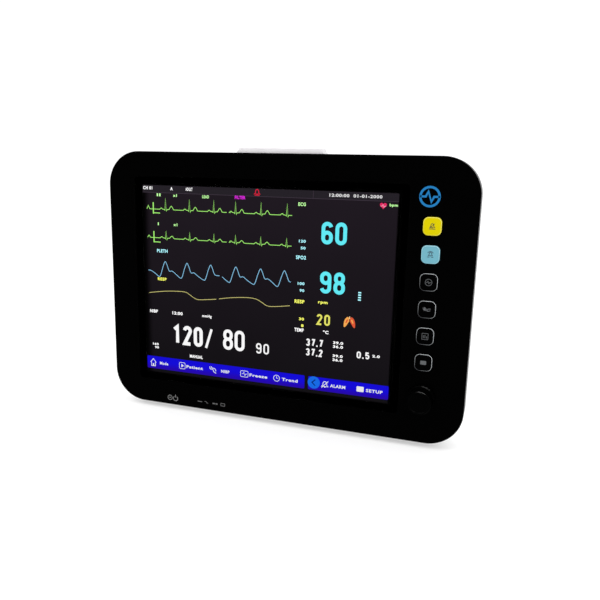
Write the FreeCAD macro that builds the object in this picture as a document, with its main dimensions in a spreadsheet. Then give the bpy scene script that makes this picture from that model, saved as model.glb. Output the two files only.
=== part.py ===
"""Bedside patient monitor: every piece as its own solid, driven by one sheet of sizes.

Millimetres. +Z is up, the display faces -Y, and the rubber feet stand on Z = 0. X = 0 is the
middle of the front panel, and Y = 0 is midway between the knob's front and the rear face.
"""
import FreeCAD, Part, Sketcher
import math
import os

V = FreeCAD.Vector
doc = FreeCAD.newDocument("PatientMonitor")

# ---------------------------------------------------------------- driving sizes
SIZES = [
    ("front", -65.0, "Y of the front panel's face"),
    ("rear", 80.0, "Y of the rear face"),
    ("floor_gap", 5.2, "front panel's lower edge above the table"),
    ("panel_width", 348.0, "front panel, left to right"),
    ("panel_height", 248.7, "front panel, bottom to top"),
    ("panel_corner", 32.0, "corner radius of the front panel"),
    ("bezel_depth", 24.0, "depth of the front bezel's side walls"),
    ("bezel_wall", 2.5, "thickness of those side walls"),
    ("face_wall", 3.5, "thickness of the bezel's face"),
    ("screen_x", -14.1, "X of the display's middle"),
    ("screen_z", 130.45, "Z of the display's middle"),
    ("screen_width", 246.0, "lit area of the 12.1 inch display, width"),
    ("screen_height", 184.5, "lit area of the display, height"),
    ("glass_margin", 8.0, "cover glass beyond the lit area, each side"),
    ("glass_thickness", 1.8, "cover glass"),
    ("fit_gap", 0.3, "gap round a loose-fitting piece"),
    ("key_x", 137.0, "X of the key column and of the knob"),
    ("key_top_z", 196.95, "Z of the uppermost key"),
    ("key_pitch", 23.42, "spacing of the keys"),
    ("key_size", 15.3, "side of a square key"),
    ("key_corner", 4.5, "corner radius of a key"),
    ("key_proud", 1.0, "how far a key stands out of the panel"),
    ("key_travel", 0.8, "how far a key goes in"),
    ("flange_lip", 1.5, "key flange beyond the cap, each side"),
    ("flange_thickness", 1.2, "key flange"),
    ("power_x", -108.6, "X of the power key"),
    ("power_z", 13.35, "Z of the power key and the indicator window"),
    ("power_width", 17.0, "power key, width"),
    ("power_height", 9.0, "power key, height"),
    ("window_x", -66.0, "X of the indicator window's middle"),
    ("window_width", 34.0, "indicator window, width"),
    ("window_height", 5.4, "indicator window, height"),
    ("knob_z", 47.45, "Z of the knob's axis"),
    ("knob_radius", 12.5, "knob at its base"),
    ("knob_face_radius", 10.0, "knob at its front face"),
    ("knob_height", 15.0, "knob's front face beyond the panel"),
    ("knob_push", 0.5, "how far the knob pushes in"),
    ("shaft_radius", 3.0, "encoder shaft"),
    ("shaft_flat", 2.0, "shaft axis to its flat"),
    ("run_gap", 0.05, "radial clearance of a turning fit"),
    ("lamp_width", 82.0, "alarm lamp at the panel's top edge"),
    ("lamp_rise", 5.4, "alarm lamp above the panel's top edge"),
    ("lamp_slant", 3.0, "how much each lamp end slants in"),
    ("lamp_depth", 11.6, "alarm lamp, front to back"),
    ("lamp_y", -55.0, "Y of the alarm lamp's middle"),
    ("board", 1.6, "thickness of every circuit board"),
    ("post_x", 126.0, "X of the housing screws, either side"),
    ("post_low_z", 38.0, "Z of the lower housing screws"),
    ("post_high_z", 212.0, "Z of the upper housing screws"),
    ("cover_wall", 3.0, "thickness of the rear cover"),
    ("foot_radius", 11.0, "rubber foot at its top"),
    ("foot_height", 10.0, "rubber foot"),
    ("foot_x", 112.0, "X of the feet, either side"),
    ("foot_front_y", -22.0, "Y of the front feet"),
    ("foot_rear_y", 54.0, "Y of the rear feet"),
    ("handle_reach", 68.0, "handle pivot to the back of its grip bar"),
    ("handle_half", 94.0, "half the handle's width"),
    ("handle_thick", 12.0, "handle thickness"),
    ("pivot_y", -12.0, "Y of the handle's pivot"),
    ("pivot_z", 236.0, "Z of the handle's pivot"),
    ("pin_radius", 3.0, "handle pivot pins"),
    ("mount_pitch", 100.0, "square pattern of the rear mounting holes"),
    ("mount_z", 158.0, "Z of that pattern's middle"),
    ("mount_hole", 2.0, "radius of the mounting holes"),
    ("socket_x", -154.0, "X of the patient connector panel's outer face"),
    ("socket_y", 15.0, "Y of the patient sockets"),
    ("inlet_x", 46.0, "X of the mains inlet"),
    ("inlet_z", 63.0, "Z of the mains inlet and the network jack"),
    ("jack_x", 86.0, "X of the network jack"),
    ("stud_x", 102.0, "X of the earthing stud"),
    ("stud_z", 47.0, "Z of the earthing stud"),
    ("speaker_x", 96.0, "X of the loudspeaker"),
    ("vent_z", 150.0, "Z of the rear vents and the loudspeaker"),
    ("door_thick", 4.0, "battery door"),
    ("hinge_x", -110.0, "X of the battery door's hinge axis"),
]

sheet = doc.addObject("Spreadsheet::Sheet", "Sizes")
for row, (alias, number, note) in enumerate(SIZES, start=1):
    sheet.set(f"A{row}", note)
    sheet.set(f"B{row}", str(number))
    sheet.setAlias(f"B{row}", alias)
doc.recompute()


class Size:
    """A length that knows both its value and the sheet formula that drives it."""

    def __init__(self, value, formula):
        self.value = value
        self.formula = formula

    def __add__(self, other):
        other = as_size(other)
        return Size(self.value + other.value, f"({self.formula} + {other.formula})")

    def __sub__(self, other):
        other = as_size(other)
        return Size(self.value - other.value, f"({self.formula} - {other.formula})")

    def __mul__(self, factor):
        return Size(self.value * factor, f"({self.formula} * {factor})")

    def __truediv__(self, factor):
        return Size(self.value / factor, f"({self.formula} / {factor})")

    def __neg__(self):
        return Size(-self.value, f"(-1 * {self.formula})")

    def __rsub__(self, other):
        return as_size(other) - self

    __radd__ = __add__
    __rmul__ = __mul__


def as_size(number):
    """Wrap a bare number so that it can stand in a formula."""
    if isinstance(number, Size):
        return number
    return Size(float(number), f"({float(number)})")


S = {alias: Size(number, f"Sizes.{alias}") for alias, number, _ in SIZES}

PANEL_MID_Z = S["floor_gap"] + S["panel_height"] / 2
PANEL_TOP_Z = S["floor_gap"] + S["panel_height"]
BEZEL_REAR = S["front"] + S["bezel_depth"]
GLASS_FRONT = S["front"] + 0.05
FACE_BACK = S["front"] + S["face_wall"]
FLANGE_FRONT = FACE_BACK + 0.2
STEM_END = FLANGE_FRONT + S["flange_thickness"] + 3.1
KEY_BOARD_FRONT = STEM_END + S["key_travel"] + 0.1
CHASSIS_FRONT = S["front"] + 13.5
CHASSIS_BACK = CHASSIS_FRONT + 1.2
COVER_BOTTOM = S["foot_height"]
COVER_TOP_FRONT = PANEL_TOP_Z - 1.5
COVER_TOP_REAR = S["foot_height"] + 228.0

ALONG = {
    "X": FreeCAD.Rotation(V(0, 1, 0), 90),
    "Y": FreeCAD.Rotation(V(1, 0, 0), -90),
    "Z": FreeCAD.Rotation(),
}
PLANE_SIGN = {"XY_Plane": 1, "XZ_Plane": -1, "YZ_Plane": 1}


# ---------------------------------------------------------------- helpers: primitives
def bind(obj, prop, size):
    """Drive one property of an object with a sheet formula."""
    obj.setExpression(prop, as_size(size).formula)


def place(obj, corner, rotation=None):
    """Put an object at a point whose coordinates are sheet formulas."""
    if rotation is not None:
        obj.Placement = FreeCAD.Placement(V(), rotation)
    for axis, size in zip("xyz", corner):
        bind(obj, f".Placement.Base.{axis}", size)


def box(name, x_span, y_span, z_span):
    """A box between two limits along each axis."""
    obj = doc.addObject("Part::Box", name)
    for prop, (low, high) in zip(("Length", "Width", "Height"), (x_span, y_span, z_span)):
        bind(obj, prop, as_size(high) - low)
    place(obj, (x_span[0], y_span[0], z_span[0]))
    return obj


def rod(name, radius, at, length, along="Y"):
    """A cylinder that starts at a point and runs along a positive axis."""
    obj = doc.addObject("Part::Cylinder", name)
    bind(obj, "Radius", radius)
    bind(obj, "Height", length)
    place(obj, at, ALONG[along])
    return obj


def taper(name, start_radius, end_radius, at, length, along="Y"):
    """A cone frustum that starts at a point and runs along a positive axis."""
    obj = doc.addObject("Part::Cone", name)
    bind(obj, "Radius1", start_radius)
    bind(obj, "Radius2", end_radius)
    bind(obj, "Height", length)
    place(obj, at, ALONG[along])
    return obj


def join(name, pieces):
    """One solid out of overlapping pieces."""
    obj = doc.addObject("Part::MultiFuse", name)
    obj.Shapes = pieces
    obj.Refine = True
    return obj


def cut(name, base, tools):
    """Take one tool or several away from a base."""
    obj = doc.addObject("Part::Cut", name)
    obj.Base = base
    obj.Tool = tools[0] if len(tools) == 1 else join(name + "_tools", tools)
    obj.Refine = True
    return obj


def common(name, first, second):
    """What two pieces share."""
    obj = doc.addObject("Part::Common", name)
    obj.Base = first
    obj.Tool = second
    return obj


def group(name, pieces):
    """Separate solids that share one node."""
    obj = doc.addObject("Part::Compound", name)
    obj.Links = pieces
    return obj


def rounded(name, base, radius, test):
    """Round the edges of a piece that pass a test."""
    doc.recompute()
    picked = [i + 1 for i, edge in enumerate(base.Shape.Edges) if test(edge)]
    obj = doc.addObject("Part::Fillet", name)
    obj.Base = base
    obj.Edges = [(i, radius, radius) for i in picked]
    return obj


# ---------------------------------------------------------------- helpers: bodies
def new_body(name):
    """A PartDesign body."""
    return doc.addObject("PartDesign::Body", name)


def sketch_on(body, name, plane, u=0, v=0, level=0):
    """A sketch on one of the body's origin planes, moved to (u, v) and to a level across it."""
    sketch = body.newObject("Sketcher::SketchObject", name)
    role = [item for item in body.Origin.OriginFeatures if item.Role == plane][0]
    sketch.AttachmentSupport = [(role, "")]
    sketch.MapMode = "FlatFace"
    bind(sketch, ".AttachmentOffset.Base.x", u)
    bind(sketch, ".AttachmentOffset.Base.y", v)
    bind(sketch, ".AttachmentOffset.Base.z", as_size(level) * PLANE_SIGN[plane])
    return sketch


def draw_circle(sketch, radius, x=0, y=0):
    """A circle at a place in the sketch."""
    radius = as_size(radius)
    index = sketch.addGeometry(Part.Circle(V(x, y, 0), V(0, 0, 1), radius.value), False)
    drive_radius(sketch, index, radius)


def drive_radius(sketch, index, size):
    """Dimension one round of a sketch from the sheet."""
    number = sketch.addConstraint(Sketcher.Constraint("Radius", index, size.value))
    bind(sketch, f"Constraints[{number}]", size)


def draw_rounded_rect(sketch, width, height, radius):
    """Four lines and four tangent arcs about the sketch's origin, all dimensions driven."""
    width, height, radius = as_size(width), as_size(height), as_size(radius)
    x, y, r = width.value / 2, height.value / 2, radius.value
    corners = [(x - r, y - r, 0), (r - x, y - r, 90), (r - x, r - y, 180), (x - r, r - y, 270)]
    arcs = []
    for cx, cy, start in corners:
        circle = Part.Circle(V(cx, cy, 0), V(0, 0, 1), r)
        arc = Part.ArcOfCircle(circle, math.radians(start), math.radians(start + 90))
        arcs.append(sketch.addGeometry(arc, False))
    lines = []
    ends = [((x - r, y), (r - x, y)), ((-x, y - r), (-x, r - y)),
            ((r - x, -y), (x - r, -y)), ((x, r - y), (x, y - r))]
    for (x0, y0), (x1, y1) in ends:
        lines.append(sketch.addGeometry(Part.LineSegment(V(x0, y0, 0), V(x1, y1, 0)), False))
    for i in range(4):
        sketch.addConstraint(Sketcher.Constraint("Tangent", arcs[i], 2, lines[i], 1))
        sketch.addConstraint(Sketcher.Constraint("Tangent", lines[i], 2, arcs[(i + 1) % 4], 1))
        sketch.addConstraint(Sketcher.Constraint("Vertical" if i % 2 else "Horizontal", lines[i]))
    for i in range(1, 4):
        sketch.addConstraint(Sketcher.Constraint("Equal", arcs[0], arcs[i]))
    sketch.addConstraint(Sketcher.Constraint("Symmetric", arcs[0], 3, arcs[2], 3, -1, 1))
    drive_radius(sketch, arcs[0], radius)
    across = Sketcher.Constraint("DistanceX", arcs[1], 3, arcs[0], 3, width.value - 2 * r)
    upward = Sketcher.Constraint("DistanceY", arcs[3], 3, arcs[0], 3, height.value - 2 * r)
    bind(sketch, f"Constraints[{sketch.addConstraint(across)}]", width - 2 * radius)
    bind(sketch, f"Constraints[{sketch.addConstraint(upward)}]", height - 2 * radius)


def draw_outline(sketch, points):
    """A closed outline of straight lines, whose points are fixed by driven distances."""
    points = [(as_size(x), as_size(y)) for x, y in points]
    first = None
    count = len(points)
    for i, (x, y) in enumerate(points):
        nx, ny = points[(i + 1) % count]
        line = Part.LineSegment(V(x.value, y.value, 0), V(nx.value, ny.value, 0))
        index = sketch.addGeometry(line, False)
        first = index if first is None else first
    for i, (x, y) in enumerate(points):
        sketch.addConstraint(Sketcher.Constraint("Coincident", first + i, 2, first + (i + 1) % count, 1))
        for kind, size in (("DistanceX", x), ("DistanceY", y)):
            limit = Sketcher.Constraint(kind, -1, 1, first + i, 1, size.value)
            bind(sketch, f"Constraints[{sketch.addConstraint(limit)}]", size)


def pad(body, sketch, length, reverse=False):
    """Grow a sketch into a solid."""
    feature = body.newObject("PartDesign::Pad", sketch.Name + "_pad")
    feature.Profile = sketch
    bind(feature, "Length", length)
    feature.Reversed = reverse
    return feature


def pocket(body, sketch, length, reverse=False):
    """Cut a sketch into the solid, and make sure that it removed something."""
    doc.recompute()
    before = body.Shape.Volume
    feature = body.newObject("PartDesign::Pocket", sketch.Name + "_pocket")
    feature.Profile = sketch
    bind(feature, "Length", length)
    feature.Reversed = reverse
    doc.recompute()
    if not body.Shape.Volume < before - 0.01:
        raise RuntimeError(f"{sketch.Name} cuts nothing")
    return feature


def soften(body, name, radius, test):
    """Fillet the body's edges that pass a test."""
    doc.recompute()
    base = body.Tip
    picked = [f"Edge{i + 1}" for i, edge in enumerate(base.Shape.Edges) if test(edge)]
    feature = body.newObject("PartDesign::Fillet", name)
    feature.Base = (base, picked)
    bind(feature, "Radius", radius)
    return feature


def at_level(axis, size):
    """Test for edges that lie wholly at one level along an axis."""
    level = as_size(size).value
    low, high = axis + "Min", axis + "Max"

    def test(edge):
        limits = edge.BoundBox
        return abs(getattr(limits, low) - level) < 0.01 and abs(getattr(limits, high) - level) < 0.01
    return test


def rounded_block(name, plane, centre, size, corner, span):
    """A block with a rounded-rectangle section: centre and size in the plane, span across it."""
    body = new_body(name)
    sketch = sketch_on(body, name + "_section", plane, centre[0], centre[1], span[0])
    draw_rounded_rect(sketch, size[0], size[1], corner)
    pad(body, sketch, as_size(span[1]) - span[0], reverse=(plane == "XZ_Plane"))
    return body


# ---------------------------------------------------------------- front
BOSS_SPOTS = [(x, z) for x in (-161.5, 158.0) for z in (60.0, 130.0, 200.0)]


def front_bezel():
    """Moulded black housing front: window, key apertures, knob hole and lamp slot."""
    body = new_body("front_bezel")
    face = sketch_on(body, "bezel_face", "XZ_Plane", 0, PANEL_MID_Z, S["front"])
    draw_rounded_rect(face, S["panel_width"], S["panel_height"], S["panel_corner"])
    pad(body, face, S["bezel_depth"], reverse=True)
    soften(body, "bezel_edge", 2.2, at_level("Y", S["front"]))
    wall = S["bezel_wall"]
    inside = sketch_on(body, "bezel_inside", "XZ_Plane", 0, PANEL_MID_Z, BEZEL_REAR)
    draw_rounded_rect(inside, S["panel_width"] - 2 * wall, S["panel_height"] - 2 * wall,
                      S["panel_corner"] - wall)
    pocket(body, inside, S["bezel_depth"] - S["face_wall"], reverse=True)
    screen = (S["screen_x"], S["screen_z"], S["front"])
    glass = sketch_on(body, "glass_seat", "XZ_Plane", *screen)
    grow = 2 * (S["glass_margin"] + S["fit_gap"])
    draw_rounded_rect(glass, S["screen_width"] + grow, S["screen_height"] + grow, 4.3)
    pocket(body, glass, S["glass_thickness"] + 0.5)
    window = sketch_on(body, "window", "XZ_Plane", *screen)
    draw_rounded_rect(window, S["screen_width"] + 4, S["screen_height"] + 4, 2.0)
    pocket(body, window, S["face_wall"] + 1)
    keys = sketch_on(body, "key_holes", "XZ_Plane", S["key_x"], S["key_top_z"], S["front"])
    side = S["key_size"] + 2 * S["fit_gap"]
    draw_rounded_rect(keys, side, side, S["key_corner"] + S["fit_gap"])
    first_hole = pocket(body, keys, S["face_wall"] + 1)
    column = body.newObject("PartDesign::LinearPattern", "key_column")
    column.Originals = [first_hole]
    column.Direction = (keys, ["V_Axis"])
    column.Reversed = True
    column.Occurrences = 6
    bind(column, "Length", S["key_pitch"] * 5)
    body.Tip = column
    power = sketch_on(body, "power_hole", "XZ_Plane", S["power_x"], S["power_z"], S["front"])
    draw_rounded_rect(power, S["power_width"] + 0.4, S["power_height"] + 0.4, 3.2)
    pocket(body, power, S["face_wall"] + 1)
    lights = sketch_on(body, "light_hole", "XZ_Plane", S["window_x"], S["power_z"], S["front"])
    draw_rounded_rect(lights, S["window_width"] + 0.2, S["window_height"] + 0.2, 2.1)
    pocket(body, lights, S["face_wall"] + 1)
    bush = sketch_on(body, "bush_hole", "XZ_Plane", S["key_x"], S["knob_z"], S["front"])
    draw_circle(bush, S["shaft_radius"] + 0.6)
    pocket(body, bush, S["face_wall"] + 1)
    slot = sketch_on(body, "lamp_slot", "XY_Plane", 0, S["lamp_y"], PANEL_TOP_Z + 1)
    draw_rounded_rect(slot, S["lamp_width"] + 0.6, S["lamp_depth"] + 0.6, 0.3)
    pocket(body, slot, S["bezel_wall"] + 2)
    for i, (x, z) in enumerate(BOSS_SPOTS):
        boss = sketch_on(body, f"boss_{i}", "XZ_Plane", x, z, CHASSIS_FRONT)
        draw_circle(boss, 4.0)
        pad(body, boss, CHASSIS_FRONT - FACE_BACK + 0.5)
        hole = sketch_on(body, f"boss_hole_{i}", "XZ_Plane", x, z, CHASSIS_FRONT)
        draw_circle(hole, 1.3)
        pocket(body, hole, 7.0, reverse=True)
    return body


def screen_glass():
    """Flush cover glass."""
    width = S["screen_width"] + 2 * S["glass_margin"]
    height = S["screen_height"] + 2 * S["glass_margin"]
    return rounded_block("screen_glass", "XZ_Plane", (S["screen_x"], S["screen_z"]), (width, height), 4.0,
                         (GLASS_FRONT, GLASS_FRONT + S["glass_thickness"]))


def glass_gasket():
    """Thin foam frame that seals the cover glass to its seat."""
    front = GLASS_FRONT + S["glass_thickness"]
    middle = (S["screen_x"], S["screen_z"])
    outer = rounded_block("gasket_outer", "XZ_Plane", middle,
                          (S["screen_width"] + 15, S["screen_height"] + 15), 3.5, (front, front + 0.45))
    inner = rounded_block("gasket_inner", "XZ_Plane", middle,
                          (S["screen_width"] + 5, S["screen_height"] + 5), 2.0, (front - 1, front + 1))
    return cut("glass_gasket", outer, [inner])


def around_screen(name, margin_x, margin_z, y_span):
    """A box centred on the display that stands past the lit area by a margin."""
    half_width = S["screen_width"] / 2 + margin_x
    half_height = S["screen_height"] / 2 + margin_z
    return box(name, (S["screen_x"] - half_width, S["screen_x"] + half_width), y_span,
               (S["screen_z"] - half_height, S["screen_z"] + half_height))


def lcd_module():
    """Metal frame, glass panel and backlight of the display."""
    start = FACE_BACK + 0.3
    frame_box = around_screen("lcd_frame_box", 15.0, 12.25, (start, start + 6.2))
    hollow = around_screen("lcd_frame_hollow", 14.4, 11.65, (start + 0.6, start + 7))
    window = around_screen("lcd_frame_window", 1.0, 1.0, (start - 1, start + 1))
    frame = cut("lcd_frame", frame_box, [hollow, window])
    panel = around_screen("lcd_panel", 12.0, 10.0, (start + 0.7, start + 2.1))
    light = around_screen("lcd_backlight", 12.0, 10.0, (start + 2.2, start + 5.9))
    return [frame, panel, light]


def push_key(name, x, z, width, height, corner, flange_span):
    """Key cap with its flange and stem. It stands proud of the panel and slides in."""
    body = new_body(name)
    cap_front = S["front"] - S["key_proud"]
    cap = sketch_on(body, name + "_cap", "XZ_Plane", x, z, cap_front)
    draw_rounded_rect(cap, width, height, corner)
    pad(body, cap, FLANGE_FRONT - cap_front, reverse=True)
    soften(body, name + "_edge", 0.7, at_level("Y", cap_front))
    low, high = flange_span
    flange = sketch_on(body, name + "_flange", "XZ_Plane", x, z + (as_size(high) + low) / 2, FLANGE_FRONT)
    draw_rounded_rect(flange, width + 2 * S["flange_lip"], as_size(high) - low, corner)
    pad(body, flange, S["flange_thickness"], reverse=True)
    stem = sketch_on(body, name + "_stem", "XZ_Plane", x, z, FLANGE_FRONT + S["flange_thickness"] - 0.1)
    draw_circle(stem, 2.5)
    pad(body, stem, STEM_END - FLANGE_FRONT - S["flange_thickness"] + 0.1, reverse=True)
    return body


KEY_NAMES = ["alarm_silence_key", "alarm_pause_key", "freeze_key", "nibp_key", "trend_key", "menu_key"]


def keys():
    """Six square keys in a column, and the power key below the display."""
    made = []
    reach = S["key_size"] / 2 + S["flange_lip"]
    for i, name in enumerate(KEY_NAMES):
        z = S["key_top_z"] - S["key_pitch"] * i
        made.append(push_key(name, S["key_x"], z, S["key_size"], S["key_size"], S["key_corner"],
                             (-reach, reach)))
    half = S["power_height"] / 2
    made.append(push_key("power_key", S["power_x"], S["power_z"], S["power_width"], S["power_height"], 3.0,
                         (-half - 0.05, half + 1.1)))
    return made


def key_electronics():
    """Silicone membrane with a well per key, and the board that it presses on."""
    x, low, high = S["key_x"], S["key_top_z"] - S["key_pitch"] * 5 - 12, S["key_top_z"] + 12
    board_back = KEY_BOARD_FRONT + S["board"]
    sheet_front = FLANGE_FRONT + S["flange_thickness"] + S["key_travel"] + 0.1
    pad_box = box("membrane_sheet", (x - 11, x + 11), (sheet_front, KEY_BOARD_FRONT), (low, high))
    wells = [rod(f"membrane_well_{i}", 4.0, (x, sheet_front - 1, S["key_top_z"] - S["key_pitch"] * i), 6.0)
             for i in range(6)]
    membrane = cut("keypad_membrane", pad_box, wells)
    board = box("keypad_board", (x - 13, x + 13), (KEY_BOARD_FRONT, board_back), (low - 2, high + 2))
    px, pz = S["power_x"], S["power_z"]
    strip = box("indicator_strip", (px - 12, S["window_x"] + 22), (KEY_BOARD_FRONT, board_back),
                (pz - 4.3, pz + 8.5))
    lights = [box(f"indicator_lamp_{i}", (S["window_x"] + dx - 1.5, S["window_x"] + dx + 1.5),
                  (KEY_BOARD_FRONT - 2, KEY_BOARD_FRONT + 0.2), (pz - 0.9, pz + 0.9))
              for i, dx in enumerate((-12.3, -4.8, 4.6, 12.8))]
    indicator_board = join("indicator_board", [strip] + lights)
    return [membrane, board, indicator_board]


def indicator_window():
    """Smoked window flush with the panel, with a lip behind it."""
    face = rounded_block("window_face", "XZ_Plane", (S["window_x"], S["power_z"]),
                         (S["window_width"], S["window_height"]), 2.0, (S["front"] + 0.05, FLANGE_FRONT))
    lip = rounded_block("window_lip", "XZ_Plane", (S["window_x"], S["power_z"]),
                        (S["window_width"] + 3, S["window_height"] + 2), 2.0,
                        (FACE_BACK + 0.1, FACE_BACK + 1.1))
    return join("indicator_window", [face, lip])


# ---------------------------------------------------------------- rotary control
def d_section(name, radius, flat, at, length):
    """A round bar along +Y with one flat below its axis."""
    x, y, z = at
    bar = rod(name + "_round", radius, at, length)
    shave = box(name + "_shave", (x - 5, x + 5), (as_size(y) - 1, as_size(y) + length + 1),
                (z - flat - 5, z - flat))
    return cut(name, bar, [shave])


def knob():
    """Turned knob with a skirt, a fluted grip, a dished face and a D-bored hub."""
    body = new_body("knob_body")
    place(body, (S["key_x"], S["front"], S["knob_z"]))
    profile = sketch_on(body, "knob_profile", "XY_Plane")
    base, face, top = S["knob_radius"], S["knob_face_radius"], -S["knob_height"]
    skirt = -(S["knob_push"] + S["fit_gap"])
    draw_outline(profile, [
        (0, top + 0.7), (face - 1.8, top + 0.7), (face - 0.9, top), (face, top),
        (face + 0.5, top + 0.6), (base - 1.2, -3.6), (base - 0.3, -3.1), (base, -2.4), (base, skirt),
        (base - 2.6, skirt), (base - 2.8, -5.6), (5.0, -5.6), (4.9, -4.7), (0, -4.7)])
    turned = body.newObject("PartDesign::Revolution", "knob_turned")
    turned.Profile = profile
    turned.ReferenceAxis = (profile, ["V_Axis"])
    turned.Angle = 360
    flute = sketch_on(body, "knob_flute", "XZ_Plane", 0, 0, -3.3)
    draw_circle(flute, 0.95, base.value - 0.55, 0)
    first = pocket(body, flute, 10.5)
    ring = body.newObject("PartDesign::PolarPattern", "knob_flutes")
    ring.Originals = [first]
    ring.Axis = (flute, ["N_Axis"])
    ring.Angle = 360
    ring.Occurrences = 24
    body.Tip = ring
    bore = d_section("knob_bore", S["shaft_radius"], S["shaft_flat"],
                     (S["key_x"], S["front"] - 11.5, S["knob_z"]), 8.0)
    return cut("knob", body, [bore])


def encoder():
    """Shaft, rotor, body with threaded bushing, nut and board of the rotary encoder."""
    x, z, front = S["key_x"], S["knob_z"], S["front"]
    run = S["shaft_radius"] + S["run_gap"]
    shaft = d_section("encoder_shaft", S["shaft_radius"], S["shaft_flat"], (x, front - 11.5, z), 20.0)
    disc = rod("rotor_disc", 5.0, (x, front + 4.9, z), 2.6)
    bore = d_section("rotor_bore", S["shaft_radius"] + 0.06, S["shaft_flat"] + 0.06, (x, front + 4, z), 5.0)
    rotor = cut("encoder_rotor", disc, [bore])
    can = box("encoder_can", (x - 6.2, x + 6.2), (FACE_BACK, FACE_BACK + 7), (z - 6.2, z + 6.2))
    bush = rod("encoder_bush", S["shaft_radius"] + 0.5, (x, front - 4, z), 8.0)
    through = rod("encoder_through", run, (x, front - 5, z), 14.3)
    cavity = rod("encoder_cavity", 5.2, (x, front + 4.7, z), 3.0)
    housing = cut("encoder_body", join("encoder_blank", [can, bush]), [through, cavity])
    nut_blank = doc.addObject("Part::Prism", "nut_blank")
    nut_blank.Polygon = 6
    nut_blank.Circumradius = 5.7
    nut_blank.Height = 2.0
    place(nut_blank, (x, front - 2, z), ALONG["Y"])
    nut_bore = rod("nut_bore", S["shaft_radius"] + 0.55, (x, front - 3, z), 4.0)
    nut = cut("encoder_nut", nut_blank, [nut_bore])
    board_front = FACE_BACK + 7
    board = box("encoder_board", (x - 12, x + 12), (board_front, board_front + S["board"]), (z - 12, z + 12))
    return [shaft, rotor, housing, nut, board]


# ---------------------------------------------------------------- alarm lamp
def alarm_lamp():
    """Translucent bar with slanted ends in the panel's top edge, and its board of lamps."""
    half, y0 = S["lamp_width"] / 2, S["lamp_y"] - S["lamp_depth"] / 2
    body = new_body("lamp_bar")
    outline = sketch_on(body, "lamp_outline", "XZ_Plane", 0, PANEL_TOP_Z, y0)
    draw_outline(outline, [(-half, -3.5), (half, -3.5), (half, 0.2), (half - S["lamp_slant"], S["lamp_rise"]),
                           (S["lamp_slant"] - half, S["lamp_rise"]), (-half, 0.2)])
    pad(body, outline, S["lamp_depth"], reverse=True)
    soften(body, "lamp_edge", 1.4, at_level("Z", PANEL_TOP_Z + S["lamp_rise"]))
    lip = box("lamp_lip", (-half - 3, half + 3), (y0 - 0.3, y0 + S["lamp_depth"] + 2),
              (PANEL_TOP_Z - 5.2, PANEL_TOP_Z - 3.0))
    lamp = join("alarm_lamp", [body, lip])
    plate_z = PANEL_TOP_Z - 9.0
    plate = box("lamp_plate", (2 - half, half - 2), (y0, y0 + S["lamp_depth"] - 1),
                (plate_z, plate_z + S["board"]))
    lights = [box(f"lamp_light_{i}", (10.0 * i - 2.5, 10.0 * i + 2.5), (y0 + 3, y0 + 8),
                  (plate_z + S["board"] - 0.2, plate_z + S["board"] + 1.4)) for i in range(-3, 4)]
    return [lamp, join("alarm_led_board", [plate] + lights)]


# ---------------------------------------------------------------- chassis and boards
POSTS = [(x, z) for x in (-S["post_x"], S["post_x"]) for z in (S["post_low_z"], S["post_high_z"])]


def chassis():
    """Aluminium plate behind the display, with posts for the rear cover and its screws."""
    plate = box("chassis_plate", (-166.5, 163.0), (CHASSIS_FRONT, CHASSIS_BACK), (26.0, 236.0))
    flanges = [box(f"chassis_flange_{i}", (-120, 115), (CHASSIS_FRONT, CHASSIS_FRONT + 9), (z, z + 1.2))
               for i, z in enumerate((26.0, 234.8))]
    posts = [rod(f"chassis_post_{i}", 4.5, (x, CHASSIS_FRONT + 0.5, z), 14.0)
             for i, (x, z) in enumerate(POSTS)]
    drilled = [rod(f"post_hole_{i}", 1.7, (x, CHASSIS_BACK + 1, z), 14.0) for i, (x, z) in enumerate(POSTS)]
    holes = [rod(f"chassis_hole_{i}", 1.7, (x, CHASSIS_FRONT - 1, z), 4.0)
             for i, (x, z) in enumerate(BOSS_SPOTS)]
    knob_room = box("knob_room", (S["key_x"] - 14, S["key_x"] + 14), (CHASSIS_FRONT - 1, CHASSIS_BACK + 1),
                    (S["knob_z"] - 14, S["knob_z"] + 14))
    frame = cut("chassis", join("chassis_blank", [plate] + flanges + posts), drilled + holes + [knob_room])
    screws = [small_screw(f"chassis_screw_{i}", 1.2, 2.6, (x, CHASSIS_BACK, z), 6.0)
              for i, (x, z) in enumerate(BOSS_SPOTS)]
    return [frame, group("chassis_screws", screws)]


def small_screw(name, radius, head_radius, at, length):
    """Pan-head screw whose head lies behind a face and whose thread runs towards -Y."""
    x, y, z = at
    shank = rod(name + "_shank", radius, (x, as_size(y) - length, z), length + 0.5)
    head = taper(name + "_head", head_radius, head_radius - 0.6, at, 1.6)
    return join(name, [shank, head])


def circuit_board(name, plate_spans, chips):
    """A board with blocky components, each given by its spans."""
    plate = box(name + "_plate", *plate_spans)
    parts = [box(f"{name}_chip_{i}", *spans) for i, spans in enumerate(chips)]
    return join(name, [plate] + parts)


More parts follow.
